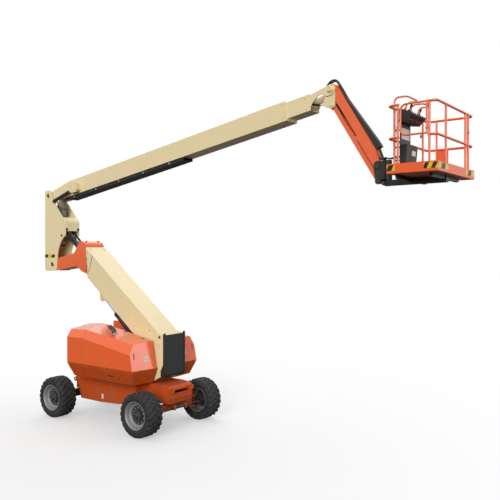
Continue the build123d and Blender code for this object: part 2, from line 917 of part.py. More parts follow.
def hoop(outer_half, outer_top, outer_under, half, top, under, start, end, frame):
    """A frame of wear pads between two telescoping tubes."""
    outer = [(start, outer_top), (end, outer_top), (end, outer_under), (start, outer_under)]
    inner = [(start - 1, top), (end + 1, top), (end + 1, under), (start - 1, under)]
    return slab(outer, -outer_half, outer_half, frame) - slab(inner, -half, half, frame)


base_start = 880
boom_in_half = boom_half_width - boom_wall
boom_in_top = boom_top - boom_wall
boom_in_under = boom_under + boom_wall
boom_base = tube(boom_half_width, boom_top, boom_under, boom_wall, base_start, boom_length, boom)
boom_base += hoop(
    boom_in_half + 1,
    boom_in_top + 1,
    boom_in_under - 1,
    mid_half_width + slide_fit,
    mid_top + slide_fit,
    mid_under - slide_fit,
    boom_length - pad_length,
    boom_length,
    boom,
)
boom_base += both(heel_side, heel_half, boom_half_width, boom)
roof_plate = [(70, 84), (900, boom_top - 12), (900, boom_top), (70, 96)]
boom_base += slab(roof_plate, -heel_half - 1, heel_half + 1, boom)
head_room = boom_top - 5
bulkhead = [(base_start, head_room), (base_start + 12, head_room), (base_start + 12, boom_under)]
bulkhead += [(base_start, boom_under)]
boom_base += slab(bulkhead, -heel_half, heel_half, boom)
lift_lug = [(260, 122), (620, 172), (470, -178), (394, -218, "bow"), (318, -178)]
lug_in = 60
lug_out = 82
boom_base += both(lift_lug, lug_in, lug_out, boom)
lift_eye_pin = 28
for side in (-1, 1):
    stub = (side * lug_in, side * (lug_out + 14))
    boom_base += cross_pin(boom.at(*lift_eye_at), lift_eye_pin + 20, min(stub), max(stub))
boom_base -= cross_pin(upright_head, head_pin_radius + pin_fit, -300, 300)
master_eye_at = (1155, -66)
bracket_side = [(1060, -150), (1290, -176), (1350, -120), (1350, 60), (1290, 108), (1110, 30), (1060, -30)]
bracket_out = 330
side_bracket = slab(bracket_side, -bracket_out, -boom_half_width, boom)
eye_slot = [(1000, -300), (1300, -300), (1300, 300), (1000, 300)]
side_bracket -= slab(eye_slot, master_y - 26, master_y + 26, boom)
boom_base += side_bracket
for y0, y1 in ((-bracket_out - 10, master_y - 26), (master_y + 26, -boom_half_width)):
    boom_base += cross_pin(boom.at(*master_eye_at), master_pin + 14, y0, y1)
save(boom_base, "boom_base")

tray_start = 720
tray_end = 0.63 * boom_length
tray_depth = 66
carrier = tube(165, boom_under - 0.3, boom_under - tray_depth, 6, tray_start, tray_end, boom)
save(carrier, "boom_carrier")

mid_wall = 8
mid_start = 1050
mid_end = boom_length + 16
mid_in_half = mid_half_width - mid_wall
mid_in_top = mid_top - mid_wall
mid_in_under = mid_under + mid_wall
boom_mid = tube(mid_half_width, mid_top, mid_under, mid_wall, mid_start, mid_end, boom)
boom_mid += hoop(
    boom_in_half - slide_fit,
    boom_in_top - slide_fit,
    boom_in_under + slide_fit,
    mid_half_width - 1,
    mid_top - 1,
    mid_under + 1,
    mid_start,
    mid_start + pad_length,
    boom,
)
boom_mid += hoop(
    mid_in_half + 1,
    mid_in_top + 1,
    mid_in_under - 1,
    fly_half_width + slide_fit,
    fly_top + slide_fit,
    fly_under - slide_fit,
    mid_end - pad_length,
    mid_end,
    boom,
)
save(boom_mid, "boom_mid")

fly_start = 1250
fly_wall = 8
boom_fly = tube(fly_half_width, fly_top, fly_under, fly_wall, fly_start, fly_end, boom)
boom_fly += hoop(
    mid_in_half - slide_fit,
    mid_in_top - slide_fit,
    mid_in_under + slide_fit,
    fly_half_width - 1,
    fly_top - 1,
    fly_under + 1,
    fly_start,
    fly_start + pad_length,
    boom,
)
nose_inner = cheek_outer + side_gap
nose_plate = [
    (-520, -50),
    (-115, 80),
    (-20, 112),
    (70, 80, "bow"),
    (85, -20),
    (40, -90),
    (-70, -112),
    (-160, -100),
    (-250, -62, "bow"),
    (-330, -110),
    (-420, -190),
    (-490, -330),
    (-520, -335),
]
boom_fly += both(nose_plate, nose_inner, fly_half_width, tip)
slave_foot = boom.at(jib_pivot_along - 792, jib_pivot_above - 7)
slave_y = -28
slave_pin = 14
boom_fly += cross_pin(slave_foot, slave_pin, -fly_half_width + 1, fly_half_width - 1)
for side in (-1, 1):
    boss = (side * nose_inner, side * (fly_half_width + 14))
    boom_fly += cross_pin(jib_pivot, 62, min(boss), max(boss))
jib_pin = 30
boom_fly -= cross_pin(jib_pivot, jib_pin + pin_fit, -fly_half_width - 20, fly_half_width + 20)
save(boom_fly, "boom_fly")

# jib

# bracket that stays level at the boom's end
bracket_side = [
    (-60, 45),
    (-90, -40),
    (-160, -140),
    (-190, -260),
    (-140, -330),
    (0, -370),
    (75, -330),
    (80, 10),
    (50, 50),
    (-5, 65),
]
bracket = both(bracket_side, cheek_inner, cheek_outer, tip)
pin_half = fly_half_width + 22
bracket += cross_pin(jib_pivot, jib_pin, -pin_half, pin_half)
link_pin = 22
jib_cylinder_y = -slave_y
bracket += cross_pin(link_pivot, link_pin, jib_cylinder_y - 21, cheek_outer + 3)
bracket += cross_pin(link_pivot, link_pin, -cheek_outer - 3, -66)
tie_plate = [(-165, -280), (-135, -310), (-100, -315), (-130, -260)]
bracket += slab(tie_plate, 66, cheek_inner, tip)
bracket += slab(tie_plate, -cheek_inner, -66, tip)
save(bracket, "jib_bracket")

jib_wall = 9
slit_end = 1085
jib_outline = [
    (-40, -52),
    (-96, -24),
    (-118, 10),
    (-128, 50),
    (-36, jib_over),
    (1540, jib_over),
    (jib_length - 20, 70),
    (jib_length + 30, 62),
    (jib_length + 68, 0, "bow"),
    (jib_length + 30, -62),
    (jib_length - 60, jib_deep),
    (slit_end + 40, jib_deep),
    (slit_end, jib_under),
]
jib_core = [
    (60, jib_under + jib_wall),
    (60, jib_over - jib_wall),
    (1536, jib_over - jib_wall),
    (jib_length - 90, 85),
    (jib_length - 90, jib_under + jib_wall),
]
jib_bar = slab(jib_outline, -jib_half_width, jib_half_width, jib)
jib_bar -= slab(jib_core, -jib_half_width + jib_wall, jib_half_width - jib_wall, jib)
slot_half = 63
jib_bar -= slab([(48, -200), (1180, -200), (1180, -20), (48, -20)], -slot_half, slot_half, jib)
jib_bar -= cross_pin(jib_pivot, jib_pin + pin_fit, -200, 200)
head_pin_hole = 28
jib_bar -= cross_pin(head_pin, head_pin_hole + pin_fit, -200, 200)
jib_eye_along = 1050
for side in (-1, 1):
    inner_cheek = (side * slot_half, side * (jib_half_width - 1))
    jib_bar += cross_pin(jib.at(jib_eye_along), 45, min(inner_cheek), max(inner_cheek))
save(jib_bar, "jib_bar")

cover_outline = [(257, jib_over + 0.3), (257, 146), (1400, 232), (1550, 232), (1540, jib_over + 0.3)]
hose_cover = slab(cover_outline, -62, 62, jib)
cover_core = [(300, jib_over - 5), (300, 142), (1396, 222), (1530, 222), (1530, jib_over - 5)]
hose_cover -= slab(cover_core, -54, 54, jib)
save(hose_cover, "jib_cover")

link_outline = [
    (0, -link_half_depth),
    (-link_half_depth, 0, "bow"),
    (0, link_half_depth),
    (jib_length, link_half_depth),
    (jib_length + link_half_depth, 0, "bow"),
    (jib_length, -link_half_depth),
]
link_half = 110
link_slot = 65
fork_end = 790
link_bar = slab(link_outline, -link_half, link_half, link)
link_bar -= slab([(-60, -60), (fork_end, -60), (fork_end, 60), (-60, 60)], -link_slot, link_slot, link)
lighten = [(fork_end + 40, -32), (jib_length - 80, -32), (jib_length - 80, 32), (fork_end + 40, 32)]
link_bar -= slab(lighten, -link_half + 8, link_half - 8, link)
link_bar -= cross_pin(link_pivot, link_pin + pin_fit, -200, 200)
link_bar -= cross_pin(foot_pin, link_pin + pin_fit, -200, 200)
save(link_bar, "jib_link")

# head at the jib's end, with the swivel that carries the platform
hx, hz = head_pin
fx, fz = foot_pin
housing_low = fz + 24
housing_high = hz + 100
head_outline = [
    (hx - 62, hz - 60),
    (hx - 70, hz + 10),
    (hx - 36, hz + 70, "bow"),
    (hx + 40, hz + 82),
    (swivel_x, hz + 75),
    (swivel_x, housing_low + 10),
    (fx + 66, housing_low + 10),
    (fx + 56, fz - 16),
    (fx, fz - 56, "bow"),
    (fx - 56, fz - 4),
    (fx - 52, fz + 60),
]
head_block = both(head_outline, cheek_inner, cheek_outer)
bridge_x = hx + 80
head_block += block((bridge_x, swivel_x), (-cheek_outer, cheek_outer), (housing_low + 10, hz + 75))
swivel_radius = 82
head_block += Pos(swivel_x, 0, housing_low) * Cylinder(swivel_radius, housing_high - housing_low, align=seat)
head_block -= block((bridge_x - 40, bridge_x), (-cheek_inner, cheek_inner), (fz - 100, hz + 110))
head_block += cross_pin(head_pin, head_pin_hole, -cheek_outer - 10, cheek_outer + 10)
head_block += cross_pin(foot_pin, link_pin, -cheek_outer - 6, cheek_outer + 6)
save(head_block, "platform_head")

# platform

rear_x = swivel_x + basket_reach
front_x = rear_x + basket_length
deck_z = hz - basket_drop
half_w = basket_width / 2
beam_top = housing_low - 0.3
beam_low = beam_top - 105
swivel_foot = 62
support = Pos(swivel_x, 0, beam_low) * Cylinder(swivel_foot, beam_top - beam_low, align=seat)
support += block((swivel_x, rear_x + 740), (-60, 60), (beam_low, beam_top))
support += block((rear_x + 40, rear_x + 100), (-640, 640), (deck_z - 64, deck_z))
support += block((rear_x + 660, rear_x + 720), (-640, 640), (deck_z - 64, deck_z))
support -= block((swivel_x + 10, rear_x + 730), (-50, 50), (beam_low + 10, beam_top - 10))
support += block((rear_x + 30, rear_x + 110), (-60, 60), (beam_low, deck_z))
support += block((rear_x + 650, rear_x + 730), (-60, 60), (beam_low, deck_z))
save(support, "platform_support")

floor = block((rear_x, front_x), (-half_w, half_w), (deck_z, deck_z + toe_board))
s = basket_sheet
floor -= block((rear_x + s, front_x - s), (-half_w + s, half_w - s), (deck_z + 14, deck_z + toe_board + 1))
save(floor, "platform_deck")

# railings: tubes round the deck, open at the gate's end
rail_y = half_w - rail_radius
gate_rear = rear_x + 200
gate_front = rear_x + 762
top_z = deck_z + rail_height
mid_z = deck_z + mid_rail + 10
toe_top = deck_z + toe_board
x0 = rear_x + rail_radius
x1 = front_x - rail_radius
corner_bend = 90


def belt(z, bend):
    """One rail round the platform, from one gate post to the other."""
    start = (gate_front - rail_radius + 1, -rail_y, z)
    end = (gate_rear + rail_radius - 1, -rail_y, z)
    corners = [(x1, -rail_y, z), (x1, rail_y, z), (x0, rail_y, z), (x0, -rail_y, z)]
    return pipe([start, *corners, end], rail_radius, bend)


rails = belt(top_z, corner_bend) + belt(mid_z, corner_bend)
post_radius = 20
posts = [
    (gate_rear, -rail_y),
    (gate_front, -rail_y),
    (gate_rear, rail_y),
    (gate_front, rail_y),
    (x1, -490),
    (x1, 490),
    (x1, 640),
    (x0, -640),
    (x0, 640),
]
for x, y in posts:
    rails += bar((x, y, toe_top), (x, y, top_z), post_radius)
end_panel = block((gate_rear - 10, gate_rear + 230), (rail_y - 4, rail_y + 4), (toe_top, mid_z))
rails += end_panel
guard_z = top_z + 195
guard_tube = 16
guard_reach = 235
for y0, y1 in ((-640, -150), (90, 420)):
    guard = [(x0, y0, top_z), (x0, y0, guard_z), (x0 + guard_reach, y0, guard_z)]
    guard += [(x0 + guard_reach, y1, guard_z), (x0, y1, guard_z), (x0, y1, top_z)]
    rails += pipe(guard, guard_tube, 85)
gate_tube = 17
gate_low = mid_z + 30
gate_high = top_z
hinge_height = 34
gx0 = gate_rear + rail_radius + gate_tube + 6
gx1 = gate_front - rail_radius - gate_tube - 6
for z in (gate_low + 70, gate_high - 70):
    knuckle = block((gx1, gate_front), (-rail_y - 7, -rail_y + 7), (z, z + hinge_height))
    knuckle += Pos(gx1, -rail_y, z) * Cylinder(gate_tube + 8, hinge_height, align=seat)
    knuckle -= bar((gx1, -rail_y, z - 1), (gx1, -rail_y, z + hinge_height + 1), gate_tube + pin_fit)
    rails += knuckle
save(rails, "platform_rails")

gate_loop = [(gx1, -rail_y, gate_high), (gx0, -rail_y, gate_high)]
gate_loop += [(gx0, -rail_y, gate_low), (gx1, -rail_y, gate_low)]
gate = pipe(gate_loop, gate_tube, 110)
gate += bar((gx1, -rail_y, gate_low - gate_tube), (gx1, -rail_y, gate_high + gate_tube), gate_tube)
save(gate, "platform_gate")

console_x = x0 + rail_radius + 0.4
console_side = [
    (console_x, top_z - 210),
    (console_x + 150, top_z - 230),
    (console_x + 262, top_z - 120),
    (console_x + 270, top_z - 90, "bow"),
    (console_x + 240, top_z - 70),
    (console_x + 60, top_z + 14),
    (console_x, top_z + 14),
]
console = slab(console_side, -560, 60)
pan_thickness = 14
pan = block((console_x, console_x + pan_thickness), (-470, -30), (deck_z + 240, top_z - 200))
folder_low = deck_z + 180
folder_high = deck_z + 560
folder_side = [
    (console_x, folder_low),
    (console_x + 115, folder_low),
    (console_x + 150, folder_high),
    (console_x, folder_high),
]
folder_core = [
    (console_x + 8, folder_low + 10),
    (console_x + 105, folder_low + 10),
    (console_x + 142, folder_high + 5),
    (console_x + 8, folder_high + 5),
]
folder = slab(folder_side, -480, -20) - slab(folder_core, -470, -30)
console += pan + folder
save(console, "control_console")

# cylinders in place

tower_eye = tower.at(*lift_eye)
tower_level_eye = tower.at(*level_pin)
boom_lift_eye = boom.at(*lift_eye_at)
boom_master_eye = boom.at(*master_eye_at)
jib_eye = jib.at(jib_eye_along)
cylinders = [
    # name, foot, eye, y, half width of the eyes, barrel radius, rod radius, barrel length, rod start, pins
    ("tower_lift", cyl_foot, tower_eye, 0, 76, 72, 38, 1800, 690, ear_pin, 32),
    ("level", level_foot, tower_level_eye, 0, 50, 66, 34, 1420, 760, level_pin_radius, 26),
    ("main_lift", lift_foot, boom_lift_eye, 0, 50, 74, 40, 985, 190, lift_pin, lift_eye_pin),
    ("master", master_foot, boom_master_eye, master_y, 20, 46, 22, 700, 150, master_pin, master_pin),
    ("slave", slave_foot, link_pivot, slave_y, 19, 25, 13, 452, 352, slave_pin, 18),
    ("jib", link_pivot, jib_eye, jib_cylinder_y, 19, 25, 14, 730, 111, link_pin, 18),
]
for name, start, end, y, width, radius, rod_r, length, inner_end, foot_pin_r, eye_pin_r in cylinders:
    save(barrel(start, end, y, radius, rod_r, length, foot_pin_r, width), f"{name}_barrel")
    save(rod(start, end, y, rod_r, radius, inner_end, eye_pin_r, width), f"{name}_rod")
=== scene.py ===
import bpy
import bmesh
import json
from math import cos, sin, pi, radians
from mathutils import Vector, Matrix


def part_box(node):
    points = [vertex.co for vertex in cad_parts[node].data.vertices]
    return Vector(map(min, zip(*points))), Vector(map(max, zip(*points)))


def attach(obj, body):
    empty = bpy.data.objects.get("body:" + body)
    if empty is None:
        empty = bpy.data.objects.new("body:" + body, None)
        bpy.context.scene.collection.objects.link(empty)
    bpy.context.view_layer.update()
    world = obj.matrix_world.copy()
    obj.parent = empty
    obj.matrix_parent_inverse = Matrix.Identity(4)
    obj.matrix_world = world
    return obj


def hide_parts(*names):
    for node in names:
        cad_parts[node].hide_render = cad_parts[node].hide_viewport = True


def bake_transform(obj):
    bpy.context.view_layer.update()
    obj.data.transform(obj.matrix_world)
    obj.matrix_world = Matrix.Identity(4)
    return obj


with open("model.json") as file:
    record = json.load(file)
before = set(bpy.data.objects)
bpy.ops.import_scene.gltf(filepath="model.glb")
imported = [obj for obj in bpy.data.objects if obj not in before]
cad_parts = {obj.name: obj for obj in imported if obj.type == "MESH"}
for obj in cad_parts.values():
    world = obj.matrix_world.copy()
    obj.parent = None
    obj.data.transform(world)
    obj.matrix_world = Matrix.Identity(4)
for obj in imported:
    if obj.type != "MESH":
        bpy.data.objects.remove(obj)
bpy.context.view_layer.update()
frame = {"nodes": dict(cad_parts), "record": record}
nodes = frame["nodes"]
record = frame["record"]
joints = {joint["name"]: joint for joint in record["behaviour"]["joints"]}
print("frame loaded:", len(nodes), "nodes")


class Wire:
    # one shader socket; sums and products of it become Math nodes
    def __init__(self, shade, socket):
        self.shade = shade
        self.socket = socket

    def math(self, operation, other=None, flipped=False):
        pair = [self] if other is None else [self, other]
        if flipped:
            pair.reverse()
        return self.shade.add("ShaderNodeMath", {"operation": operation}, dict(enumerate(pair)))

    def __add__(self, other):
        return self.math("ADD", other)

    def __radd__(self, other):
        return self.math("ADD", other, True)

    def __sub__(self, other):
        return self.math("SUBTRACT", other)

    def __rsub__(self, other):
        return self.math("SUBTRACT", other, True)

    def __mul__(self, other):
        return self.math("MULTIPLY", other)

    def __rmul__(self, other):
        return self.math("MULTIPLY", other, True)

    def __truediv__(self, other):
        return self.math("DIVIDE", other)

    def __rtruediv__(self, other):
        return self.math("DIVIDE", other, True)

    def __gt__(self, other):
        return self.math("GREATER_THAN", other)

    def __lt__(self, other):
        return self.math("LESS_THAN", other)

    def size(self):
        return self.math("ABSOLUTE")

    def wave(self):
        return self.math("SINE")


class Shade:
    # a material and its nodes
    def __init__(self, name):
        self.material = bpy.data.materials.new(name)
        self.material.use_nodes = True
        self.tree = self.material.node_tree
        self.tree.nodes.clear()

    def add(self, kind, settings=None, inputs=None, output=0):
        node = self.tree.nodes.new(kind)
        for key, value in (settings or {}).items():
            setattr(node, key, value)
        for key, value in (inputs or {}).items():
            socket = node.inputs[key]
            if isinstance(value, Wire):
                self.tree.links.new(value.socket, socket)
            else:
                socket.default_value = value
        return Wire(self, node.outputs[output])

    def place(self):
        return self.add("ShaderNodeTexCoord", output="Object")

    def split(self, wire, axis):
        return self.add("ShaderNodeSeparateXYZ", {}, {0: wire}, "XYZ".index(axis))

    def noise(self, scale, detail=3.0, roughness=0.5, stretch=None):
        where = self.place()
        if stretch:
            where = self.add("ShaderNodeMapping", {}, {"Vector": where, "Scale": stretch})
        sockets = {"Vector": where, "Scale": scale, "Detail": detail, "Roughness": roughness}
        return self.add("ShaderNodeTexNoise", {}, sockets)

    def ramp(self, wire, low, high):
        # 0 below low, 1 above high
        sockets = {"Value": wire, "From Min": low, "From Max": high}
        return self.add("ShaderNodeMapRange", {"clamp": True}, sockets)

    def mix(self, factor, first, second):
        return self.add("ShaderNodeMix", {"data_type": "RGBA"}, {"Factor": factor, 6: first, 7: second}, 2)

    def upward(self):
        # 1 on faces that look up
        normal = self.add("ShaderNodeNewGeometry", output="Normal")
        return self.ramp(self.split(normal, "Z"), 0.55, 0.95)

    def softNormal(self, radius):
        return self.add("ShaderNodeBevel", {"samples": 4}, {"Radius": radius})

    def edges(self, soft):
        # 1 along sharp edges, from how far the rounded normal leans
        flat = self.add("ShaderNodeNewGeometry", output="Normal")
        lean = self.add("ShaderNodeVectorMath", {"operation": "DOT_PRODUCT"}, {0: soft, 1: flat}, "Value")
        return self.ramp(1 - lean, 0.02, 0.18)

    def fromAxle(self):
        # distance from the axle's line, the same for all four wheels
        where = self.place()
        ahead = self.split(where, "X").size() - wheelPlace["x"]
        above = self.split(where, "Z") - wheelPlace["z"]
        return (ahead * ahead + above * above).math("SQRT")

    def bump(self, height, strength, distance, normal=None):
        inputs = {"Height": height, "Strength": strength, "Distance": distance}
        if normal:
            inputs["Normal"] = normal
        return self.add("ShaderNodeBump", {}, inputs)

    def surface(self, shader):
        out = self.tree.nodes.new("ShaderNodeOutputMaterial")
        self.tree.links.new(shader.socket, out.inputs["Surface"])
        return self.material

    def finish(self, **sockets):
        names = {"color": "Base Color", "rough": "Roughness", "metal": "Metallic", "coat": "Coat Weight",
                 "coatRough": "Coat Roughness", "normal": "Normal", "specular": "Specular IOR Level"}
        named = {names[key]: value for key, value in sockets.items()}
        return self.surface(self.add("ShaderNodeBsdfPrincipled", {}, named))


rimLow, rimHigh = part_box("rim_front_left")
wheelPlace = {"x": (rimLow.x + rimHigh.x) / 2, "z": (rimLow.z + rimHigh.z) / 2}

dirt = {"dust": (0.46, 0.42, 0.36, 1), "streak": (0.30, 0.24, 0.18, 1),
        "splash": (0.19, 0.14, 0.10, 1), "chip": (0.20, 0.19, 0.18, 1)}


def paintFinish(name, paint):
    # sprayed enamel: faint clouding, orange peel, dust on top, splashes low down, chips along the edges
    s = Shade(name)
    base = (*paint["color"], 1)
    deep = (*[c * paint["deep"] for c in paint["color"]], 1)
    cloud = s.ramp(s.noise(1.3, 4), 0.3, 0.7)
    color = s.mix(cloud * 0.6, base, deep)
    dust = s.upward() * s.ramp(s.noise(9, 6, 0.65), 0.35, 0.8) * paint["dust"]
    color = s.mix(dust, color, dirt["dust"])
    streak = s.ramp(s.noise(5, 4, 0.6, stretch=(1, 1, 0.12)), 0.5, 0.75) * paint["streak"]
    color = s.mix(streak, color, dirt["streak"])
    low = s.ramp(s.split(s.place(), "Z"), paint["splashTop"], 0.25)
    grime = low * s.ramp(s.noise(14, 5, 0.6), 0.42, 0.7) * paint["splash"]
    color = s.mix(grime, color, dirt["splash"])
    soft = s.softNormal(paint["round"])
    chips = s.edges(soft) * s.ramp(s.noise(38, 5, 0.7), 0.56, 0.64) * paint["wear"]
    color = s.mix(chips, color, dirt["chip"])
    rough = paint["rough"] + dust * 0.25 + grime * 0.3 + s.noise(45, 2) * 0.05
    normal = s.bump(s.noise(150, 2), 0.05, 0.002, soft)
    return s.finish(color=color, rough=rough, coat=paint["coat"], coatRough=0.16, normal=normal,
                    specular=paint["specular"])


tread = {"pitch": 0.052, "scuff": (0.24, 0.17, 0.13, 1), "worn": (0.62, 0.50, 0.42, 1),
         "chip": (0.22, 0.21, 0.20, 1)}


def deckFinish(paint):
    # floor sheet: raised tear marks on the faces that look up, scuffed between them
    s = Shade("deckTread")
    where = s.place()
    x = s.split(where, "X") * 2 * pi / tread["pitch"]
    y = s.split(where, "Y") * 2 * pi / tread["pitch"]
    first = (x + y).wave() * (x - y).wave()
    marks = s.ramp(first.size(), 0.72, 0.86) * s.upward()
    scuff = s.ramp(s.noise(6, 6, 0.7), 0.4, 0.7) * s.upward()
    color = s.mix(scuff * 0.55, (*paint["color"], 1), tread["scuff"])
    soft = s.softNormal(0.003)
    color = s.mix(marks * 0.4, color, tread["worn"])
    chips = s.edges(soft) * s.ramp(s.noise(38, 5, 0.7), 0.54, 0.62) * 0.7
    color = s.mix(chips, color, tread["chip"])
    rough = 0.38 + scuff * 0.2
    normal = s.bump(marks, 0.5, 0.003, soft)
    return s.finish(color=color, rough=rough, coat=0.1, normal=normal, specular=0.3)


chrome = {"bright": (0.70, 0.71, 0.73, 1), "oily": (0.42, 0.42, 0.43, 1)}


def chromeFinish():
    s = Shade("hardChrome")
    streak = s.noise(6, 3, 0.5, stretch=(1, 60, 1))
    oil = s.ramp(s.noise(3, 5, 0.6), 0.5, 0.8)
    color = s.mix(oil * 0.5, chrome["bright"], chrome["oily"])
    return s.finish(color=color, metal=1.0, rough=0.16 + streak * 0.12)


# radii in metres from the axle's line
rubber = {"crown": (0.485, 0.506), "wallOuter": (0.435, 0.425), "wallInner": (0.335, 0.345),
          "ringPitch": 0.017, "black": (0.020, 0.020, 0.021, 1), "dust": (0.070, 0.065, 0.060, 1),
          "scrubbed": (0.055, 0.054, 0.053, 1)}


def rubberFinish():
    # chalky rubber: dust in the hollows, fine moulded rings on the side walls
    s = Shade("tyreRubber")
    dust = s.ramp(s.noise(7, 6, 0.7), 0.4, 0.75)
    radius = s.fromAxle()
    crown = s.ramp(radius, *rubber["crown"])
    color = s.mix(dust * 0.6, rubber["black"], rubber["dust"])
    color = s.mix(crown * 0.35, color, rubber["scrubbed"])
    ring = (radius * (2 * pi / rubber["ringPitch"])).wave()
    wall = s.ramp(radius, *rubber["wallOuter"]) * s.ramp(radius, *rubber["wallInner"])
    height = ring * wall * 0.5 + s.noise(200, 2) * 0.4
    normal = s.bump(height, 0.35, 0.003, s.softNormal(0.005))
    return s.finish(color=color, rough=0.72 + dust * 0.18, specular=0.3, normal=normal)


rimPaint = {"dish": (0.222, 0.216), "silver": (0.26, 0.26, 0.26, 1), "silverDust": (0.16, 0.15, 0.14, 1),
            # the black of the hub, also used as painted shade across the dish
            "hubBlackAndDishShade": (0.032, 0.033, 0.035, 1), "darkDust": (0.10, 0.09, 0.08, 1),
            "chip": (0.34, 0.33, 0.32, 1)}


def wheelFinish():
    # silver outer ring, and within it a dark dish and hub: a black hub, with painted shade across the
    # recessed dish
    s = Shade("wheelPaint")
    radius = s.fromAxle()
    dish = s.ramp(radius, *rimPaint["dish"])
    dust = s.ramp(s.noise(11, 6, 0.7), 0.4, 0.75)
    silver = s.mix(dust * 0.4, rimPaint["silver"], rimPaint["silverDust"])
    hubBlackAndDishShade = s.mix(dust * 0.35, rimPaint["hubBlackAndDishShade"], rimPaint["darkDust"])
    soft = s.softNormal(0.004)
    # inside the dish's radius: the black hub and painted shade in the dish
    color = s.mix(dish, silver, hubBlackAndDishShade)
    chips = s.edges(soft) * s.ramp(s.noise(38, 5, 0.7), 0.5, 0.6) * 0.5
    color = s.mix(chips, color, rimPaint["chip"])
    normal = s.bump(s.noise(120, 2), 0.08, 0.002, soft)
    return s.finish(color=color, rough=0.42 + dust * 0.2, metal=0.15, normal=normal, specular=0.4)


def plasticFinish(name, color, rough):
    s = Shade(name)
    soft = s.softNormal(0.005)
    fade = s.ramp(s.noise(3, 4), 0.3, 0.7)
    pale = (*[c * 1.6 + 0.008 for c in color], 1)
    tint = s.mix(fade * 0.4 + s.edges(soft) * 0.5, (*color, 1), pale)
    normal = s.bump(s.noise(420, 2), 0.18, 0.001, soft)
    return s.finish(color=tint, rough=rough + fade * 0.1, normal=normal, specular=0.35)


hazard = {"yellow": (0.80, 0.53, 0.02, 1), "black": (0.012, 0.012, 0.012, 1), "scuff": (0.3, 0.28, 0.25, 1)}


def hazardFinish(name, axis, lean, pitch, start, share):
    # slanted black and yellow bars along one axis
    s = Shade(name)
    where = s.place()
    run = (s.split(where, axis) - s.split(where, "Z") * lean - start) / pitch
    bars = run.math("FRACT") < share
    scuff = s.ramp(s.noise(30, 5, 0.7), 0.5, 0.75)
    color = s.mix(bars, hazard["yellow"], hazard["black"])
    color = s.mix(scuff * 0.15, color, hazard["scuff"])
    normal = s.bump(s.noise(90, 2), 0.05, 0.001)
    return s.finish(color=color, rough=0.42 + scuff * 0.2, normal=normal, specular=0.3)


def plateFinish(name, color):
    # bare label plate: satin foil, a little scuffed
    s = Shade(name)
    scuff = s.ramp(s.noise(40, 5, 0.6), 0.45, 0.75)
    tint = s.mix(scuff * 0.3, (*color, 1), (*[c * 0.75 for c in color], 1))
    return s.finish(color=tint, rough=0.4 + scuff * 0.2, normal=s.bump(s.noise(120, 2), 0.05, 0.0006))


paints = {
    "orange": {"color": (0.86, 0.128, 0.024), "deep": 0.93, "dust": 0.08, "streak": 0.05, "splash": 0.15,
               "splashTop": 0.9, "wear": 0.5, "round": 0.006, "rough": 0.30, "coat": 0.7, "specular": 0.3},
    # dark orange: a darker paint, deepened further with painted shade for low parts in the machine's shadow
    # and under overhangs
    "orangeDarkAndShade": {"color": (0.56, 0.078, 0.010), "deep": 0.82, "dust": 0.22, "streak": 0.16, "splash": 0.5,
                   "splashTop": 1.0, "wear": 0.8, "round": 0.006, "rough": 0.42, "coat": 0.06,
                   "specular": 0.15},
    "cream": {"color": (0.83, 0.69, 0.40), "deep": 0.95, "dust": 0.08, "streak": 0.05, "splash": 0.0,
              "splashTop": 0.5, "wear": 0.35, "round": 0.006, "rough": 0.32, "coat": 0.3, "specular": 0.3},
    "black": {"color": (0.020, 0.020, 0.021), "deep": 0.8, "dust": 0.12, "streak": 0.08, "splash": 0.35,
              "splashTop": 0.8, "wear": 0.5, "round": 0.004, "rough": 0.42, "coat": 0.1, "specular": 0.3},
    "headCast": {"color": (0.026, 0.030, 0.025), "deep": 0.7, "dust": 0.2, "streak": 0.2, "splash": 0.0,
                 "splashTop": 0.8, "wear": 0.6, "round": 0.006, "rough": 0.45, "coat": 0.05,
                 "specular": 0.25},
    "silver": {"color": (0.36, 0.36, 0.36), "deep": 0.85, "dust": 0.2, "streak": 0.25, "splash": 0.5,
               "splashTop": 0.9, "wear": 0.4, "round": 0.005, "rough": 0.40, "coat": 0.15, "specular": 0.3},
    "zinc": {"color": (0.34, 0.34, 0.33), "deep": 0.8, "dust": 0.1, "streak": 0.1, "splash": 0.2,
             "splashTop": 0.8, "wear": 0.2, "round": 0.002, "rough": 0.36, "coat": 0.0, "specular": 0.4},
    "darkBolt": {"color": (0.045, 0.045, 0.045), "deep": 0.8, "dust": 0.2, "streak": 0.1, "splash": 0.3,
                 "splashTop": 0.8, "wear": 0.4, "round": 0.002, "rough": 0.4, "coat": 0.0, "specular": 0.35},
    "liftGrey": {"color": (0.20, 0.20, 0.205), "deep": 0.8, "dust": 0.15, "streak": 0.3, "splash": 0.0,
                 "splashTop": 0.8, "wear": 0.4, "round": 0.003, "rough": 0.35, "coat": 0.1, "specular": 0.35},
}
finishes = {key: paintFinish(key + "Paint", value) for key, value in paints.items()}
finishes["deck"] = deckFinish(paints["orange"])
finishes["chrome"] = chromeFinish()
finishes["rubber"] = rubberFinish()
finishes["wheel"] = wheelFinish()
finishes["plastic"] = plasticFinish("blackPlastic", (0.020, 0.020, 0.021), 0.5)
finishes["hose"] = plasticFinish("hoseRubber", (0.014, 0.014, 0.014), 0.45)
finishes["red"] = plasticFinish("redPlastic", (0.55, 0.02, 0.015), 0.35)
finishes["paleCard"] = plateFinish("paleCard", (0.62, 0.60, 0.58))
finishes["plate"] = plateFinish("barePlate", (0.70, 0.70, 0.68))
print("finishes made:", len(finishes))

slotFinish = {
    "orange": "orange", "orange_dark": "orangeDarkAndShade", "cream": "cream", "black_steel": "black",
    "chrome_rod": "chrome", "grey_paint": "silver", "tyre_rubber": "rubber", "rim_grey": "wheel",
    "black_plastic": "plastic", "casting": "black",
}
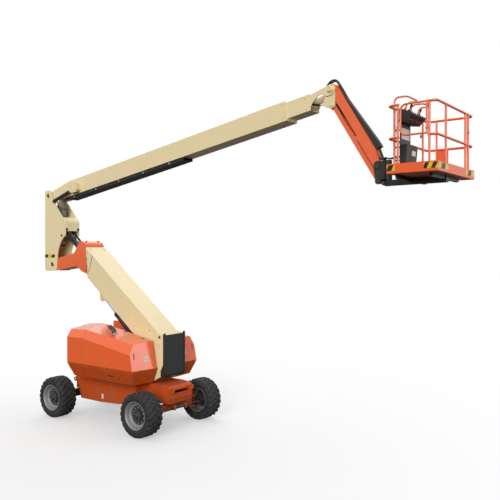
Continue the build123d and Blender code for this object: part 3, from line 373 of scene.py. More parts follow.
# nodes whose finish differs from the rest of their slot; the turntable's frame takes the dark orange with its
# painted shade
ownFinish = {"platform_deck": "deck", "platform_head": "headCast", "main_lift_rod": "liftGrey",
             "main_lift_barrel": "liftGrey", "exhaust_stack": "darkBolt", "turntable_frame": "orangeDarkAndShade"}
recordSlots = {part["node"]: part["material_slot"] for part in record["subparts"]}


def smooth(obj, angle):
    # shaded smooth, but for edges that turn by more than the angle
    for polygon in obj.data.polygons:
        polygon.use_smooth = True
    obj.data.set_sharp_from_angle(angle=radians(angle))
    return obj


for nodeName, obj in nodes.items():
    obj.data.materials.clear()
    obj.data.materials.append(finishes[ownFinish.get(nodeName) or slotFinish[recordSlots[nodeName]]])
    smooth(obj, 28)


def pivot(name):
    return Vector(joints[name]["pos_m"])


def newPiece(name, mesh, finish, body, sharpAngle=35):
    data = bpy.data.meshes.new(name)
    bmesh.ops.recalc_face_normals(mesh, faces=mesh.faces)
    mesh.to_mesh(data)
    mesh.free()
    obj = bpy.data.objects.new(name, data)
    bpy.context.scene.collection.objects.link(obj)
    data.materials.append(finishes[finish])
    if body:
        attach(obj, body)
    return smooth(obj, sharpAngle)


def landOn(nodeName, start, direction):
    # where a line first meets a node, and the surface's normal there
    found, spot, normal, _ = nodes[nodeName].ray_cast(Vector(start), Vector(direction).normalized())
    if not found:
        raise ValueError(nodeName + " isn't met from " + str(tuple(start)))
    return spot, normal


def around(count, shift=0):
    # equal steps of angle round a circle
    return [2 * pi * (n + shift) / count for n in range(count)]


def turned(normal, up):
    # Z along the normal, Y as near to up as it can be
    z = Vector(normal).normalized()
    x = Vector(up).cross(z).normalized()
    return Matrix((x, z.cross(x), z)).transposed().to_4x4()


def bevelAll(mesh, verts, bevel):
    edges = list(dict.fromkeys(edge for vert in verts for edge in vert.link_edges))
    bmesh.ops.bevel(mesh, geom=edges, offset=bevel, segments=2, affect="EDGES")


def addRod(mesh, start, end, radius, sides=24, bevel=0.0, endRadius=None):
    start, end = Vector(start), Vector(end)
    run = end - start
    aim = Vector((0, 0, 1)).rotation_difference(run.normalized()).to_matrix().to_4x4()
    last = radius if endRadius is None else endRadius
    made = bmesh.ops.create_cone(mesh, cap_ends=True, segments=sides, radius1=radius, radius2=last,
                                 depth=run.length, matrix=Matrix.Translation((start + end) / 2) @ aim)
    if bevel:
        edges = dict.fromkeys(edge for vert in made["verts"] for edge in vert.link_edges)
        rims = [edge for edge in edges if any(len(face.verts) > 4 for face in edge.link_faces)]
        bmesh.ops.bevel(mesh, geom=rims, offset=bevel, segments=2, affect="EDGES")


def addBlock(mesh, low, high, bevel=0.002):
    low, high = Vector(low), Vector(high)
    matrix = Matrix.Translation((low + high) / 2) @ Matrix.Diagonal((*(high - low), 1))
    made = bmesh.ops.create_cube(mesh, size=1, matrix=matrix)
    bevelAll(mesh, made["verts"], bevel)


def addPanel(mesh, centre, normal, width, height, thick=0.002, up=(0, 0, 1), bevel=None):
    # a plate that lies on a surface, with its back just sunk in it
    out = Vector(normal).normalized()
    matrix = Matrix.Translation(Vector(centre) + out * (thick * 0.5 - 0.0004)) @ turned(normal, up)
    made = bmesh.ops.create_cube(mesh, size=1, matrix=matrix @ Matrix.Diagonal((width, height, thick, 1)))
    bevelAll(mesh, made["verts"], bevel or thick * 0.3)


def addBolt(mesh, spot, direction, size):
    # washer, hexagon head and the end of its shank
    spot, direction = Vector(spot), Vector(direction).normalized()
    addRod(mesh, spot - direction * 0.001, spot + direction * size * 0.16, size * 0.95, 20)
    addRod(mesh, spot + direction * size * 0.14, spot + direction * size * 0.62, size * 0.62, 6, size * 0.06)
    addRod(mesh, spot + direction * size * 0.6, spot + direction * size * 0.74, size * 0.3, 12, size * 0.03)


def boltOn(mesh, nodeName, start, direction, size, square=False, facing=0.0):
    # a bolt where a line first meets a node, along the face's normal or square back along the line
    # none where the line misses, or where the face leans more than facing allows
    line = Vector(direction).normalized()
    found, spot, normal, _ = nodes[nodeName].ray_cast(Vector(start), line)
    if found and abs(normal.dot(line)) >= facing:
        addBolt(mesh, spot, -line if square else normal, size)


def addKeeper(mesh, spot, direction, radius, toward):
    # the end of a pin, its keeper bar and the bar's two bolts
    spot, direction = Vector(spot), Vector(direction).normalized()
    toward = Vector(toward).normalized()
    addRod(mesh, spot - direction * 0.004, spot + direction * 0.012, radius, 32, 0.003)
    addRod(mesh, spot + direction * 0.011, spot + direction * 0.016, radius * 0.35, 16, 0.001)
    bar = spot + toward * radius * 1.15
    addPanel(mesh, bar, direction, radius * 2.4, radius * 0.8, 0.010, toward, 0.002)
    across = direction.cross(toward)
    for way in (-1, 1):
        addBolt(mesh, bar + direction * 0.009 + across * way * radius * 0.85, direction, radius * 0.26)


def keeperOn(mesh, nodeName, centre, radius, toward):
    # keepers on both ends of a pin that lies across the node
    for side in (-1, 1):
        start, line = Vector((centre.x, side * 0.8, centre.z)), Vector((0, -side, 0))
        found, spot, _, _ = nodes[nodeName].ray_cast(start, line)
        if found:
            addKeeper(mesh, spot, -line, radius, toward)


def addBand(mesh, rings):
    # skins over a row of equal rings and closes both ends
    made = [[mesh.verts.new(spot) for spot in ring] for ring in rings]
    count = len(made[0])
    for low, high in zip(made, made[1:]):
        for k in range(count):
            mesh.faces.new((low[k], low[(k + 1) % count], high[(k + 1) % count], high[k]))
    mesh.faces.new(made[0][::-1])
    mesh.faces.new(made[-1])


def addHose(mesh, points, radius, sides=12, steps=10):
    # a smooth tube through the points
    points = [Vector(p) for p in points]
    spots = []
    for i in range(len(points) - 1):
        a = points[i - 1] if i else points[i] * 2 - points[i + 1]
        b, c = points[i], points[i + 1]
        d = points[i + 2] if i + 2 < len(points) else points[i + 1] * 2 - points[i]
        for k in range(steps + (i == len(points) - 2)):
            t = k / steps
            square = (a * 2 - b * 5 + c * 4 - d) * t * t
            spots.append((b * 2 + (c - a) * t + square + (b * 3 - a - c * 3 + d) * t ** 3) * 0.5)
    side = (spots[1] - spots[0]).orthogonal().normalized()
    rings = []
    for i, spot in enumerate(spots):
        ahead = (spots[min(i + 1, len(spots) - 1)] - spots[max(i - 1, 0)]).normalized()
        side = (side - ahead * side.dot(ahead)).normalized()
        other = ahead.cross(side)
        rings.append([spot + (side * cos(angle) + other * sin(angle)) * radius for angle in around(sides)])
    addBand(mesh, rings)


def addFitting(mesh, spot, direction, radius):
    # the crimped end of a hose with its hexagon nut
    spot, direction = Vector(spot), Vector(direction).normalized()
    addRod(mesh, spot, spot + direction * radius * 3.2, radius * 1.25, 16, radius * 0.15)
    nut = direction * radius
    addRod(mesh, spot - nut * 1.2, spot + nut * 0.2, radius * 1.5, 6, radius * 0.12)


def hosePiece(name, route, radius):
    # a hose between two bodies, attached to neither of them
    mesh = bmesh.new()
    addHose(mesh, route, radius)
    return newPiece(name, mesh, "hose", None)


class Limb:
    # a straight member: places along it, above its line and across it
    def __init__(self, origin, direction):
        self.origin = Vector(origin)
        self.run = Vector(direction).normalized()
        across = Vector((0, 1, 0)).cross(self.run)
        self.above = across if across.z > 0 else -across

    def at(self, along, above, y=0.0):
        spot = self.origin + self.run * along + self.above * above
        return Vector((spot.x, spot.y + y, spot.z))


tower = Limb(pivot("tower_lift"), joints["tower_extend"]["axis"])
boom = Limb(pivot("main_lift"), joints["boom_mid_extend"]["axis"])
jib = Limb(pivot("jib_lift"), pivot("head_level") - pivot("jib_lift"))

# tyres: lathed casing with staggered bars that wrap over the shoulders
# pairs are metres from the middle of the tread, then radius or height
tyre = {
    "skin": [(0.0, 0.4890), (0.07, 0.4885), (0.13, 0.4860), (0.170, 0.4800), (0.197, 0.4660),
             (0.2105, 0.4450), (0.2165, 0.4200), (0.2180, 0.3950), (0.2150, 0.3700), (0.2075, 0.3480),
             (0.1975, 0.3320), (0.1880, 0.3215)],
    "bead": [(0.180, 0.3195), (-0.180, 0.3195)], "steps": 96,
    "lugs": 22, "slant": 0.30, "width": 0.066, "furthest": 0.2222, "highest": 0.5092,
    "heights": [(0.0, 0.0195), (0.10, 0.0205), (0.17, 0.0240), (0.200, 0.0165), (0.212, 0.0090),
                (0.218, 0.0030)],
    "stations": [-0.022, 0.0, 0.03, 0.07, 0.11, 0.145, 0.17, 0.188, 0.201, 0.209, 0.214, 0.2172],
}


def between(table, value):
    for (a, p), (b, q) in zip(table, table[1:]):
        if value <= b:
            return p + (q - p) * (value - a) / (b - a)
    return table[-1][1]


def addLug(mesh, start, half):
    # one bar, from just past the centre, over the shoulder, to the side wall
    reach = tyre["skin"][:8]
    sections = []
    for i, w in enumerate(tyre["stations"]):
        r = between(reach, abs(w))
        lift = between(tyre["heights"], abs(w))
        r0, r1 = between(reach, max(abs(w) - 0.004, 0)), between(reach, min(abs(w) + 0.004, 0.218))
        slope = Vector((0.008, r1 - r0)).normalized()
        out = Vector((-slope.y, slope.x))
        turn = start - tyre["slant"] * (max(w, 0) / 0.22) ** 1.25
        wide = tyre["width"] * (0.42 + 0.16 * min(abs(w) / 0.2, 1)) * (0.8 if i == 0 else 1)
        edge = [(1.16, -0.006), (1.0, lift * 0.82), (0.86, lift)]
        section = []
        for across, height in [(-a, h) for a, h in edge] + edge[::-1]:
            far = min(w + out.x * height, tyre["furthest"])
            high = min(r + out.y * height, tyre["highest"])
            angle = turn + across * wide / r
            section.append(Vector((cos(angle) * high, half * far, sin(angle) * high)))
        sections.append(section)
    addBand(mesh, sections)


def tyreMesh():
    mesh = bmesh.new()
    outline = [(-w, r) for w, r in tyre["skin"][::-1]] + tyre["skin"][1:] + tyre["bead"]
    rings = []
    for angle in around(tyre["steps"]):
        rings.append([mesh.verts.new((cos(angle) * r, w, sin(angle) * r)) for w, r in outline])
    for here, there in zip(rings, rings[1:] + rings[:1]):
        for i in range(len(outline)):
            j = (i + 1) % len(outline)
            mesh.faces.new((here[i], here[j], there[j], there[i]))
    for half in (-1, 1):
        for start in around(tyre["lugs"], 0.5 if half > 0 else 0):
            addLug(mesh, start, half)
    return mesh


# count, circle and size of the two rings of bolts
wheel = {"nuts": (10, 0.174, 0.017), "hubBolts": (12, 0.118, 0.010)}
valve = {"circle": 0.24, "radius": 0.005, "capRadius": 0.0065, "lean": -0.012, "long": 0.045}
for corner in ("front_left", "front_right", "rear_left", "rear_right"):
    centre = Vector(joints["wheel_" + corner]["pos_m"])
    side = 1 if centre.y > 0 else -1
    rimName, body = "rim_" + corner, "wheel_" + corner
    mesh = tyreMesh()
    bmesh.ops.translate(mesh, verts=mesh.verts, vec=centre)
    casing = newPiece("casing_" + corner, mesh, "rubber", body, 40)
    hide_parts("tyre_" + corner)
    mesh = bmesh.new()
    for count, circle, size in wheel.values():
        for angle in around(count, 0.5):
            start = centre + Vector((cos(angle) * circle, side * 0.4, sin(angle) * circle))
            boltOn(mesh, rimName, start, (0, -side, 0), size, square=True)
    newPiece("wheelNuts_" + corner, mesh, "zinc", body)
    mesh = bmesh.new()
    spot, normal = landOn(rimName, centre + Vector((valve["circle"], side * 0.4, 0)), (0, -side, 0))
    tip = spot + Vector((valve["lean"], side * valve["long"], 0))
    addRod(mesh, spot, tip, valve["radius"], 12, 0.001)
    cap = Vector((0, side, 0))
    addRod(mesh, tip - cap * 0.014, tip + cap * 0.004, valve["capRadius"], 12, 0.001)
    newPiece("valve_" + corner, mesh, "hose", body)
print("tyres and wheels dressed")

# chassis: bolts of the slewing ring and the nose, bare plates
chassisBolts = {"ringCount": 32, "ringRadius": 0.552, "ringTop": 1.0698, "ringSize": 0.016,
                "noseAcross": (-0.33, -0.17, 0.17, 0.33), "noseHeight": 0.72, "noseSize": 0.014}
mesh = bmesh.new()
for angle in around(chassisBolts["ringCount"]):
    ring = chassisBolts["ringRadius"]
    spot = Vector((cos(angle) * ring, sin(angle) * ring, chassisBolts["ringTop"]))
    addBolt(mesh, spot, (0, 0, 1), chassisBolts["ringSize"])
for y in chassisBolts["noseAcross"]:
    boltOn(mesh, "chassis_frame", (2.4, y, chassisBolts["noseHeight"]), (-1, 0, 0), chassisBolts["noseSize"])
newPiece("chassisBolts", mesh, "darkBolt", "chassis")

chassisPlates = {"along": -0.303, "height": 0.60, "size": (0.075, 0.115)}
mesh = bmesh.new()
for side in (-1, 1):
    start = (chassisPlates["along"], side * 1.5, chassisPlates["height"])
    spot, normal = landOn("chassis_frame", start, (0, -side, 0))
    addPanel(mesh, spot, normal, *chassisPlates["size"], 0.0025)
newPiece("chassisPlates", mesh, "plate", "chassis")

steeringHoses = {"across": 0.205, "rootAcross": 0.11, "rootHeight": 0.655, "rootBack": 0.055, "radius": 0.009}
mesh = bmesh.new()
ramLow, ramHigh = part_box("steering_ram")
ramX, ramZ = (ramLow.x + ramHigh.x) / 2, ramHigh.z
for side in (-1, 1):
    port = Vector((ramX, side * steeringHoses["across"], ramZ + 0.006))
    root = Vector((ramX - steeringHoses["rootBack"], side * steeringHoses["rootAcross"],
                   steeringHoses["rootHeight"]))
    bend = root + Vector((0.02, side * 0.01, -0.035))
    rise = port + Vector((-0.012, -side * 0.03, 0.023))
    addHose(mesh, [root, bend, rise, port], steeringHoses["radius"])
    addFitting(mesh, port, (0, 0, 1), 0.008)
newPiece("steeringHoses", mesh, "hose", "chassis")

# brake lines clipped along the front and the rear axle
brakeLines = {"across": (0.10, 0.25, 0.40, 0.52), "ahead": 0.02, "clear": 0.007, "radius": 0.006}
mesh = bmesh.new()
axleX = wheelPlace["x"] + brakeLines["ahead"]
for side in (-1, 1):
    for axleName, x in (("front_axle", axleX), ("rear_axle", -axleX)):
        clear = Vector((0, 0, brakeLines["clear"]))
        route = [landOn(axleName, (x, side * y, 1.0), (0, 0, -1))[0] + clear for y in brakeLines["across"]]
        addHose(mesh, route, brakeLines["radius"], 8, 6)
newPiece("brakeLines", mesh, "darkBolt", "chassis")
print("chassis dressed")

# turntable: black plates on its side trays, painted shade where their slots are
traySlotShades = {"along": 0.49, "height": 1.262, "size": (0.20, 0.034)}
mesh = bmesh.new()
for side in (-1, 1):
    start = (traySlotShades["along"], side * 2, traySlotShades["height"])
    spot, normal = landOn("turntable_frame", start, (0, -side, 0))
    addPanel(mesh, spot, normal, *traySlotShades["size"], 0.003, bevel=0.0012)
newPiece("traySlotShades", mesh, "plastic", "turntable")

hoodLatch = {"across": 0.9925, "height": 1.79, "plate": (0.026, 0.150), "handle": (0.014, 0.090)}
# across, height and size of each plate on a hood's front
hoodPlates = ((0.655, 1.735, 0.135, 0.058), (0.650, 1.655, 0.120, 0.052))
# along the hood's inner edge
hoodHinges = {"along": (-0.25, 0.35, 0.95), "across": 0.425, "half": 0.045, "radius": 0.009}
for body, side in (("hood_right", -1), ("hood_left", 1)):
    start = (2.2, side * hoodLatch["across"], hoodLatch["height"])
    spot, normal = landOn(body, start, (-1, 0, 0))
    mesh = bmesh.new()
    addPanel(mesh, spot, normal, *hoodLatch["plate"], 0.004, bevel=0.0016)
    addPanel(mesh, spot + normal * 0.003, normal, *hoodLatch["handle"], 0.006, bevel=0.002)
    newPiece("hoodLatch_" + body[5:], mesh, "plastic", body)
    mesh = bmesh.new()
    for y, z, wide, high in hoodPlates:
        spot, normal = landOn(body, (2.2, side * y, z), (-1, 0, 0))
        addPanel(mesh, spot, normal, wide, high, 0.0016)
    newPiece("hoodPlates_" + body[5:], mesh, "paleCard", body)
    mesh = bmesh.new()
    half = hoodHinges["half"]
    for x in hoodHinges["along"]:
        spot, normal = landOn(body, (x, side * hoodHinges["across"], 3.0), (0, 0, -1))
        rear, front = spot + Vector((-half, 0, 0)), spot + Vector((half, 0, -0.008))
        addRod(mesh, rear, front, hoodHinges["radius"], 16, 0.0015)
        addPanel(mesh, spot + Vector((0, side * 0.03, -0.004)), normal, 0.085, 0.045, 0.004, (0, 1, 0))
    newPiece("hoodHinges_" + body[5:], mesh, "darkBolt", body)

# rubber strip in the gap between hood and tail
hoodSeals = {"corners": ((1.094, 1.470), (1.094, 2.070), (0.965, 2.268), (0.410, 2.368)),
             "rear": -0.0073, "front": -0.0007, "deep": 0.014}
mesh = bmesh.new()
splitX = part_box("hood_right")[0].x
for side in (-1, 1):
    sections = []
    for y, z in hoodSeals["corners"]:
        inward = Vector((0, -side, 0)) if z < 2.1 else Vector((0, -side * 0.3, -0.95))
        front = Vector((splitX + hoodSeals["front"], side * y, z))
        rear = Vector((splitX + hoodSeals["rear"], side * y, z))
        sections.append([rear, front, front + inward * hoodSeals["deep"], rear + inward * hoodSeals["deep"]])
    addBand(mesh, sections)
newPiece("hoodSeals", mesh, "plastic", "turntable")

towerFootPins = {"ahead": 0.05, "above": 0.17, "radius": 0.026, "bar": (0.2, 0, -1)}
mesh = bmesh.new()
keeperPlace = pivot("tower_lift") + Vector((towerFootPins["ahead"], 0, towerFootPins["above"]))
keeperOn(mesh, "tower_support", keeperPlace, towerFootPins["radius"], towerFootPins["bar"])
newPiece("towerFootPins", mesh, "darkBolt", "turntable")

coverScrews = {"heights": (1.36, 1.62, 1.88, 2.14), "across": 0.29, "size": 0.010}
mesh = bmesh.new()
for z in coverScrews["heights"]:
    for side in (-1, 1):
        start = (2.4, side * coverScrews["across"], z)
        boltOn(mesh, "front_cover", start, (-1, 0, 0), coverScrews["size"])
newPiece("coverScrews", mesh, "darkBolt", "turntable")

# louvres in each tail cowl, and the ballast's bolts between them
tailLouvres = {"count": 7, "across": 0.72, "lowest": 1.62, "pitch": 0.055, "size": (0.30, 0.018),
               "ballastAcross": 0.55, "ballastHeights": (1.30, 1.55), "ballastSize": 0.028}
mesh = bmesh.new()
for side, cowl in ((-1, "tail_cowl_right"), (1, "tail_cowl_left")):
    for k in range(tailLouvres["count"]):
        start = (-2.5, side * tailLouvres["across"], tailLouvres["lowest"] + k * tailLouvres["pitch"])
        spot, normal = landOn(cowl, start, (1, 0, 0))
        addPanel(mesh, spot, normal, *tailLouvres["size"], 0.008, bevel=0.003)
    for z in tailLouvres["ballastHeights"]:
        start = (-2.5, side * tailLouvres["ballastAcross"], z)
        boltOn(mesh, "counterweight", start, (1, 0, 0), tailLouvres["ballastSize"])
newPiece("tailLouvres", mesh, "plastic", "turntable")

exhaustClamp = {"place": (0.268, -0.69, 2.218), "radius": 0.060, "bolt": 0.009}
mesh = bmesh.new()
spot = Vector(exhaustClamp["place"])
radius = exhaustClamp["radius"]
addRod(mesh, spot + Vector((0.004, 0, -0.03)), spot + Vector((-0.004, 0, 0.012)), radius, 32, 0.003)
addBolt(mesh, spot + Vector((0, -radius, -0.006)), (0, -1, 0), exhaustClamp["bolt"])
newPiece("exhaustClamp", mesh, "zinc", "hood_right")
print("turntable dressed")

# cylinders: gland ring with its bolts, pressure pipes with clips
# inset is how far the barrel's box stands out past its tube, pipes are angles round it
cylinders = {
    "tower_lift": {"length": 1.86, "pipes": (0.5, -0.5), "pipe": 0.011, "inset": 0.006},
    "level": {"length": 1.42, "pipes": (0.35,), "pipe": 0.009, "inset": 0.0},
    "main_lift": {"length": 0.98, "pipes": (0.55, -0.55), "pipe": 0.010, "inset": 0.006},
}
for name, spec in cylinders.items():
    ram = Limb(pivot(name + "_tilt"), joints[name + "_stroke"]["axis"])
    low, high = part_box(name + "_barrel")
    radius = (high.y - low.y) / 2 - spec["inset"]
    end, pipe = spec["length"], spec["pipe"]
    mesh = bmesh.new()
    addRod(mesh, ram.at(end - 0.055, 0), ram.at(end - 0.012, 0), radius + 0.007, 36, 0.003)
    for angle in around(6):
        ring = radius * 0.8
        addBolt(mesh, ram.at(end - 0.013, cos(angle + 0.3) * ring, sin(angle + 0.3) * ring), ram.run, 0.007)
    far = radius + pipe * 1.1
    places = ((0.13, radius * 0.9), (0.14, far), (0.22, far), (end * 0.5, far), (end - 0.13, far),
              (end - 0.065, far), (end - 0.055, radius * 0.95))
    for slant in spec["pipes"]:
        above, across = cos(slant), sin(slant)
        addHose(mesh, [ram.at(along, above * out, across * out) for along, out in places], pipe, 10, 6)
        for share in (0.3, 0.7):
            clip = ram.at(end * share, above * far, across * far)
            addRod(mesh, clip - ram.run * 0.014, clip + ram.run * 0.014, pipe * 1.45, 16, 0.002)
    newPiece("gland_" + name, mesh, "darkBolt", name + "_barrel")
print("cylinders dressed")

# tower: bolts of its wear pads and foot, in places along and above its line
towerBolts = {"sides": ((3.43, 0.10), (3.30, -0.02), (3.16, -0.16), (3.03, -0.30), (0.42, 0.05),
                        (0.55, -0.28)),
              "topAcross": 0.22, "topAlong": (3.40, 3.46), "size": 0.014}
mesh = bmesh.new()
for side in (-1, 1):
    for along, above in towerBolts["sides"]:
        start = tower.at(along, above, side * 0.8)
        boltOn(mesh, "tower_base", start, (0, -side, 0), towerBolts["size"], square=True)
    for along in towerBolts["topAlong"]:
        start = tower.at(along, 0.6, side * towerBolts["topAcross"])
        boltOn(mesh, "tower_base", start, -tower.above, towerBolts["size"])
newPiece("towerBolts", mesh, "darkBolt", "tower_base")

towerCable = {"wall": -0.3295, "start": (3.17, 0.184, -0.322), "radius": 0.0045,
              "down": ((3.16, 0.15), (3.13, 0.05), (3.085, -0.06), (3.055, -0.17), (3.045, -0.27),
                       (3.03, -0.34))}
mesh = bmesh.new()
route = [tower.at(*towerCable["start"])]
route += [tower.at(along, above, towerCable["wall"]) for along, above in towerCable["down"]]
addHose(mesh, route, towerCable["radius"], 8, 8)
newPiece("towerCable", mesh, "hose", "tower_base")

noseBolts = {"spots": ((-2.62, 3.98), (-2.35, 4.02), (-2.10, 4.05), (-1.78, 4.25), (-1.62, 4.40)),
             "size": 0.012}
mesh = bmesh.new()
for side in (-1, 1):
    for x, z in noseBolts["spots"]:
        boltOn(mesh, "tower_fly", (x, side * 0.8, z), (0, -side, 0), noseBolts["size"], facing=0.9)
newPiece("noseBolts", mesh, "darkBolt", "tower_fly")
print("tower dressed")

# upright: warning bands, pins with keepers, rubber stops
uprightBands = {"low": 4.030, "high": 4.118, "rear": -3.168, "front": -2.728, "across": 0.234,
                "lean": 0.3, "pitch": 0.30, "share": 0.46}
rear, front = uprightBands["rear"], uprightBands["front"]
low, high = uprightBands["low"], uprightBands["high"]
middle = (low + high) / 2
finishes["uprightBand"] = hazardFinish("uprightBand", "X", uprightBands["lean"], uprightBands["pitch"],
                                       rear - middle * uprightBands["lean"], uprightBands["share"])
mesh = bmesh.new()
for side in (-1, 1):
    centre = ((rear + front) / 2, side * uprightBands["across"], middle)
    addPanel(mesh, centre, (0, side, 0), front - rear, high - low, 0.0018, bevel=0.0005)
newPiece("uprightBands", mesh, "uprightBand", "upright")

# joint at the pin's axis: radius, and the way to its keeper bar
uprightPins = {"upright_level": (0.042, (0.3, 0, -1)), "main_lift": (0.040, (-0.6, 0, 1)),
               "level_tilt": (0.026, (0.6, 0, 1))}
mesh = bmesh.new()
for name, (radius, toward) in uprightPins.items():
    keeperOn(mesh, "upright", pivot(name), radius, toward)
newPiece("uprightPins", mesh, "darkBolt", "upright")

uprightGrommets = {"across": 0.190, "height": 4.805, "radius": 0.036, "inner": 0.020}
mesh = bmesh.new()
for side in (-1, 1):
    start = (-1.5, side * uprightGrommets["across"], uprightGrommets["height"])
    spot, normal = landOn("upright", start, (-1, 0, 0))
    addRod(mesh, spot, spot + normal * 0.010, uprightGrommets["radius"], 24, 0.003)
    addRod(mesh, spot + normal * 0.008, spot + normal * 0.014, uprightGrommets["inner"], 16, 0.001)
newPiece("uprightGrommets", mesh, "plastic", "upright")

# hoses from the elbow down to the tower's head; each has its place across and its sway
elbowHoses = {"lines": ((-0.150, 0.00), (-0.105, 0.03), (0.105, 0.02), (0.150, -0.01)), "radius": 0.024}
for k, (y, sway) in enumerate(elbowHoses["lines"], 1):
    route = [(-2.40, y, 4.765), (-2.36, y, 4.705), (-2.24 + sway, y, 4.60 + sway),
             (-2.08 + sway, y, 4.475 + sway), (-1.92 + sway, y, 4.35), (-1.79, y, 4.22)]
    piece = hosePiece("elbowHose_" + str(k), route, elbowHoses["radius"])
    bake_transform(piece)

# hoses beside the main lift cylinder, up to the boom's heel
heelHoses = {"across": (-0.125, 0.125), "radius": 0.015,
             "line": ((-2.86, 5.00), (-2.84, 5.12), (-2.78, 5.28), (-2.73, 5.42), (-2.74, 5.54),
                      (-2.80, 5.64))}
for k, y in enumerate(heelHoses["across"], 1):
    piece = hosePiece("heelHose_" + str(k), [(x, y, z) for x, z in heelHoses["line"]], heelHoses["radius"])
    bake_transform(piece)
print("upright dressed")

# boom: wear pad bolts at the base's mouth and by its heel
boomBolts = {"above": (0.15, -0.12), "along": (7.93, 7.99), "size": 0.009,
             "topAlong": 7.96, "topAcross": 0.12,
             "heel": ((1.10, 0.01), (1.30, 0.05), (1.30, -0.10)), "heelSize": 0.012}
mesh = bmesh.new()
for side in (-1, 1):
    for above in boomBolts["above"]:
        for along in boomBolts["along"]:
            start = boom.at(along, above, side * 0.6)
            boltOn(mesh, "boom_base", start, (0, -side, 0), boomBolts["size"])
    for way in (-1, 1):
        start = boom.at(boomBolts["topAlong"], -0.6 * way, side * boomBolts["topAcross"])
        boltOn(mesh, "boom_base", start, boom.above * way, boomBolts["size"])
for along, above in boomBolts["heel"]:
    boltOn(mesh, "boom_base", boom.at(along, above, -0.8), (0, 1, 0), boomBolts["heelSize"])
newPiece("boomBolts", mesh, "darkBolt", "boom_base")

# clips along the hose tray
trayClips = {"along": (1.0, 1.9, 2.8, 3.7, 4.6), "below": -0.225, "size": (0.05, 0.045), "bolt": 0.008}
mesh = bmesh.new()
for along in trayClips["along"]:
    for side in (-1, 1):
        spot, normal = landOn("boom_carrier", boom.at(along, trayClips["below"], side * 0.6), (0, -side, 0))
        addPanel(mesh, spot, normal, *trayClips["size"], 0.004, boom.above)
        addBolt(mesh, spot + normal * 0.004, normal, trayClips["bolt"])
newPiece("trayClips", mesh, "zinc", "boom_base")

flyBolts = {"along": 8.50, "above": (0.12, -0.10), "size": 0.009}
mesh = bmesh.new()
for side in (-1, 1):
    for above in flyBolts["above"]:
        start = boom.at(flyBolts["along"], above, side * 0.6)
        boltOn(mesh, "boom_fly", start, (0, -side, 0), flyBolts["size"])
newPiece("flyBolts", mesh, "darkBolt", "boom_fly")

bracketPins = {"jib_lift": (0.040, (-1, 0, 0.3)), "jib_parallel": (0.030, (-0.8, 0, -0.8))}
mesh = bmesh.new()
for name, (radius, toward) in bracketPins.items():
    keeperOn(mesh, "jib_bracket", pivot(name), radius, toward)
newPiece("bracketPins", mesh, "cream", "jib_bracket")
print("boom dressed")

# jib: hoses over the tip; each has its place across and how high its loop stands
tipHoses = {"lines": ((-0.030, 0.0), (0.006, 0.012), (0.040, -0.008)), "radius": 0.016}
for k, (y, rise) in enumerate(tipHoses["lines"], 1):
    route = [(5.70, y, 7.36), (5.765, y, 7.475), (5.85, y, 7.575 + rise), (5.945, y, 7.610 + rise),
             (6.03, y, 7.555 + rise), (6.095, y, 7.450), (6.15, y, 7.36), (6.205, y, 7.262), (6.26, y, 7.165)]
    piece = hosePiece("tipHose_" + str(k), route, tipHoses["radius"])
    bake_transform(piece)

jibCoverScrews = {"along": (0.33, 1.53), "across": 0.04, "size": 0.008}
mesh = bmesh.new()
for along in jibCoverScrews["along"]:
    spot, normal = landOn("jib_cover", jib.at(along, 0.6, 0), -jib.above)
    for side in (-1, 1):
        addBolt(mesh, spot + Vector((0, side * jibCoverScrews["across"], 0)), normal, jibCoverScrews["size"])
newPiece("jibCoverScrews", mesh, "zinc", "jib_bar")

# hoses from under the cover to the head
jibHoses = {"across": (-0.026, 0.012, 0.045), "radius": 0.013,
            "line": ((1.50, 0.165), (1.60, 0.150), (1.70, 0.130), (1.79, 0.125)),
            "last": ((7.045, 5.978), (7.10, 5.962))}
for k, y in enumerate(jibHoses["across"], 1):
    route = [jib.at(along, above, y) for along, above in jibHoses["line"]]
    route += [Vector((x, y, z)) for x, z in jibHoses["last"]]
    piece = hosePiece("jibHose_" + str(k), route, jibHoses["radius"])
    tuple(jib.at(1.70, 0.13, 0))
    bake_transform(piece)
print("jib dressed")

# head: pin keeper, cover bolts at x and z, and the ring of bolts on top
headX, headTop = pivot("platform_rotate").x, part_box("platform_head")[1].z
headBolts = {"pinRadius": 0.036, "bar": (0.3, 0, -1), "sides": ((6.92, 5.70), (6.97, 5.60)),
             "sideSize": 0.012, "ringRadius": 0.052, "ringSize": 0.010}
mesh = bmesh.new()
keeperOn(mesh, "platform_head", pivot("head_level"), headBolts["pinRadius"], headBolts["bar"])
for side in (-1, 1):
    for x, z in headBolts["sides"]:
        boltOn(mesh, "platform_head", (x, side * 0.8, z), (0, -side, 0), headBolts["sideSize"])
for angle in around(6):
    ring = headBolts["ringRadius"]
    start = (headX + cos(angle) * ring, sin(angle) * ring, headTop + 0.3)
    boltOn(mesh, "platform_head", start, (0, 0, -1), headBolts["ringSize"])
newPiece("headBolts", mesh, "darkBolt", "platform_head")

platformHoses = {"across": (-0.026, 0.012, 0.045), "radius": 0.011}
for k, y in enumerate(platformHoses["across"], 1):
    route = [(7.09, y, 5.962), (7.15, y, 5.958), (7.22, y * 1.5, 5.965), (7.32, y * 2 - 0.05, 5.972),
             (7.42, y * 2 - 0.12, 5.955), (7.49, y * 2 - 0.17, 5.925)]
    piece = hosePiece("platformHose_" + str(k), route, platformHoses["radius"])
    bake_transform(piece)

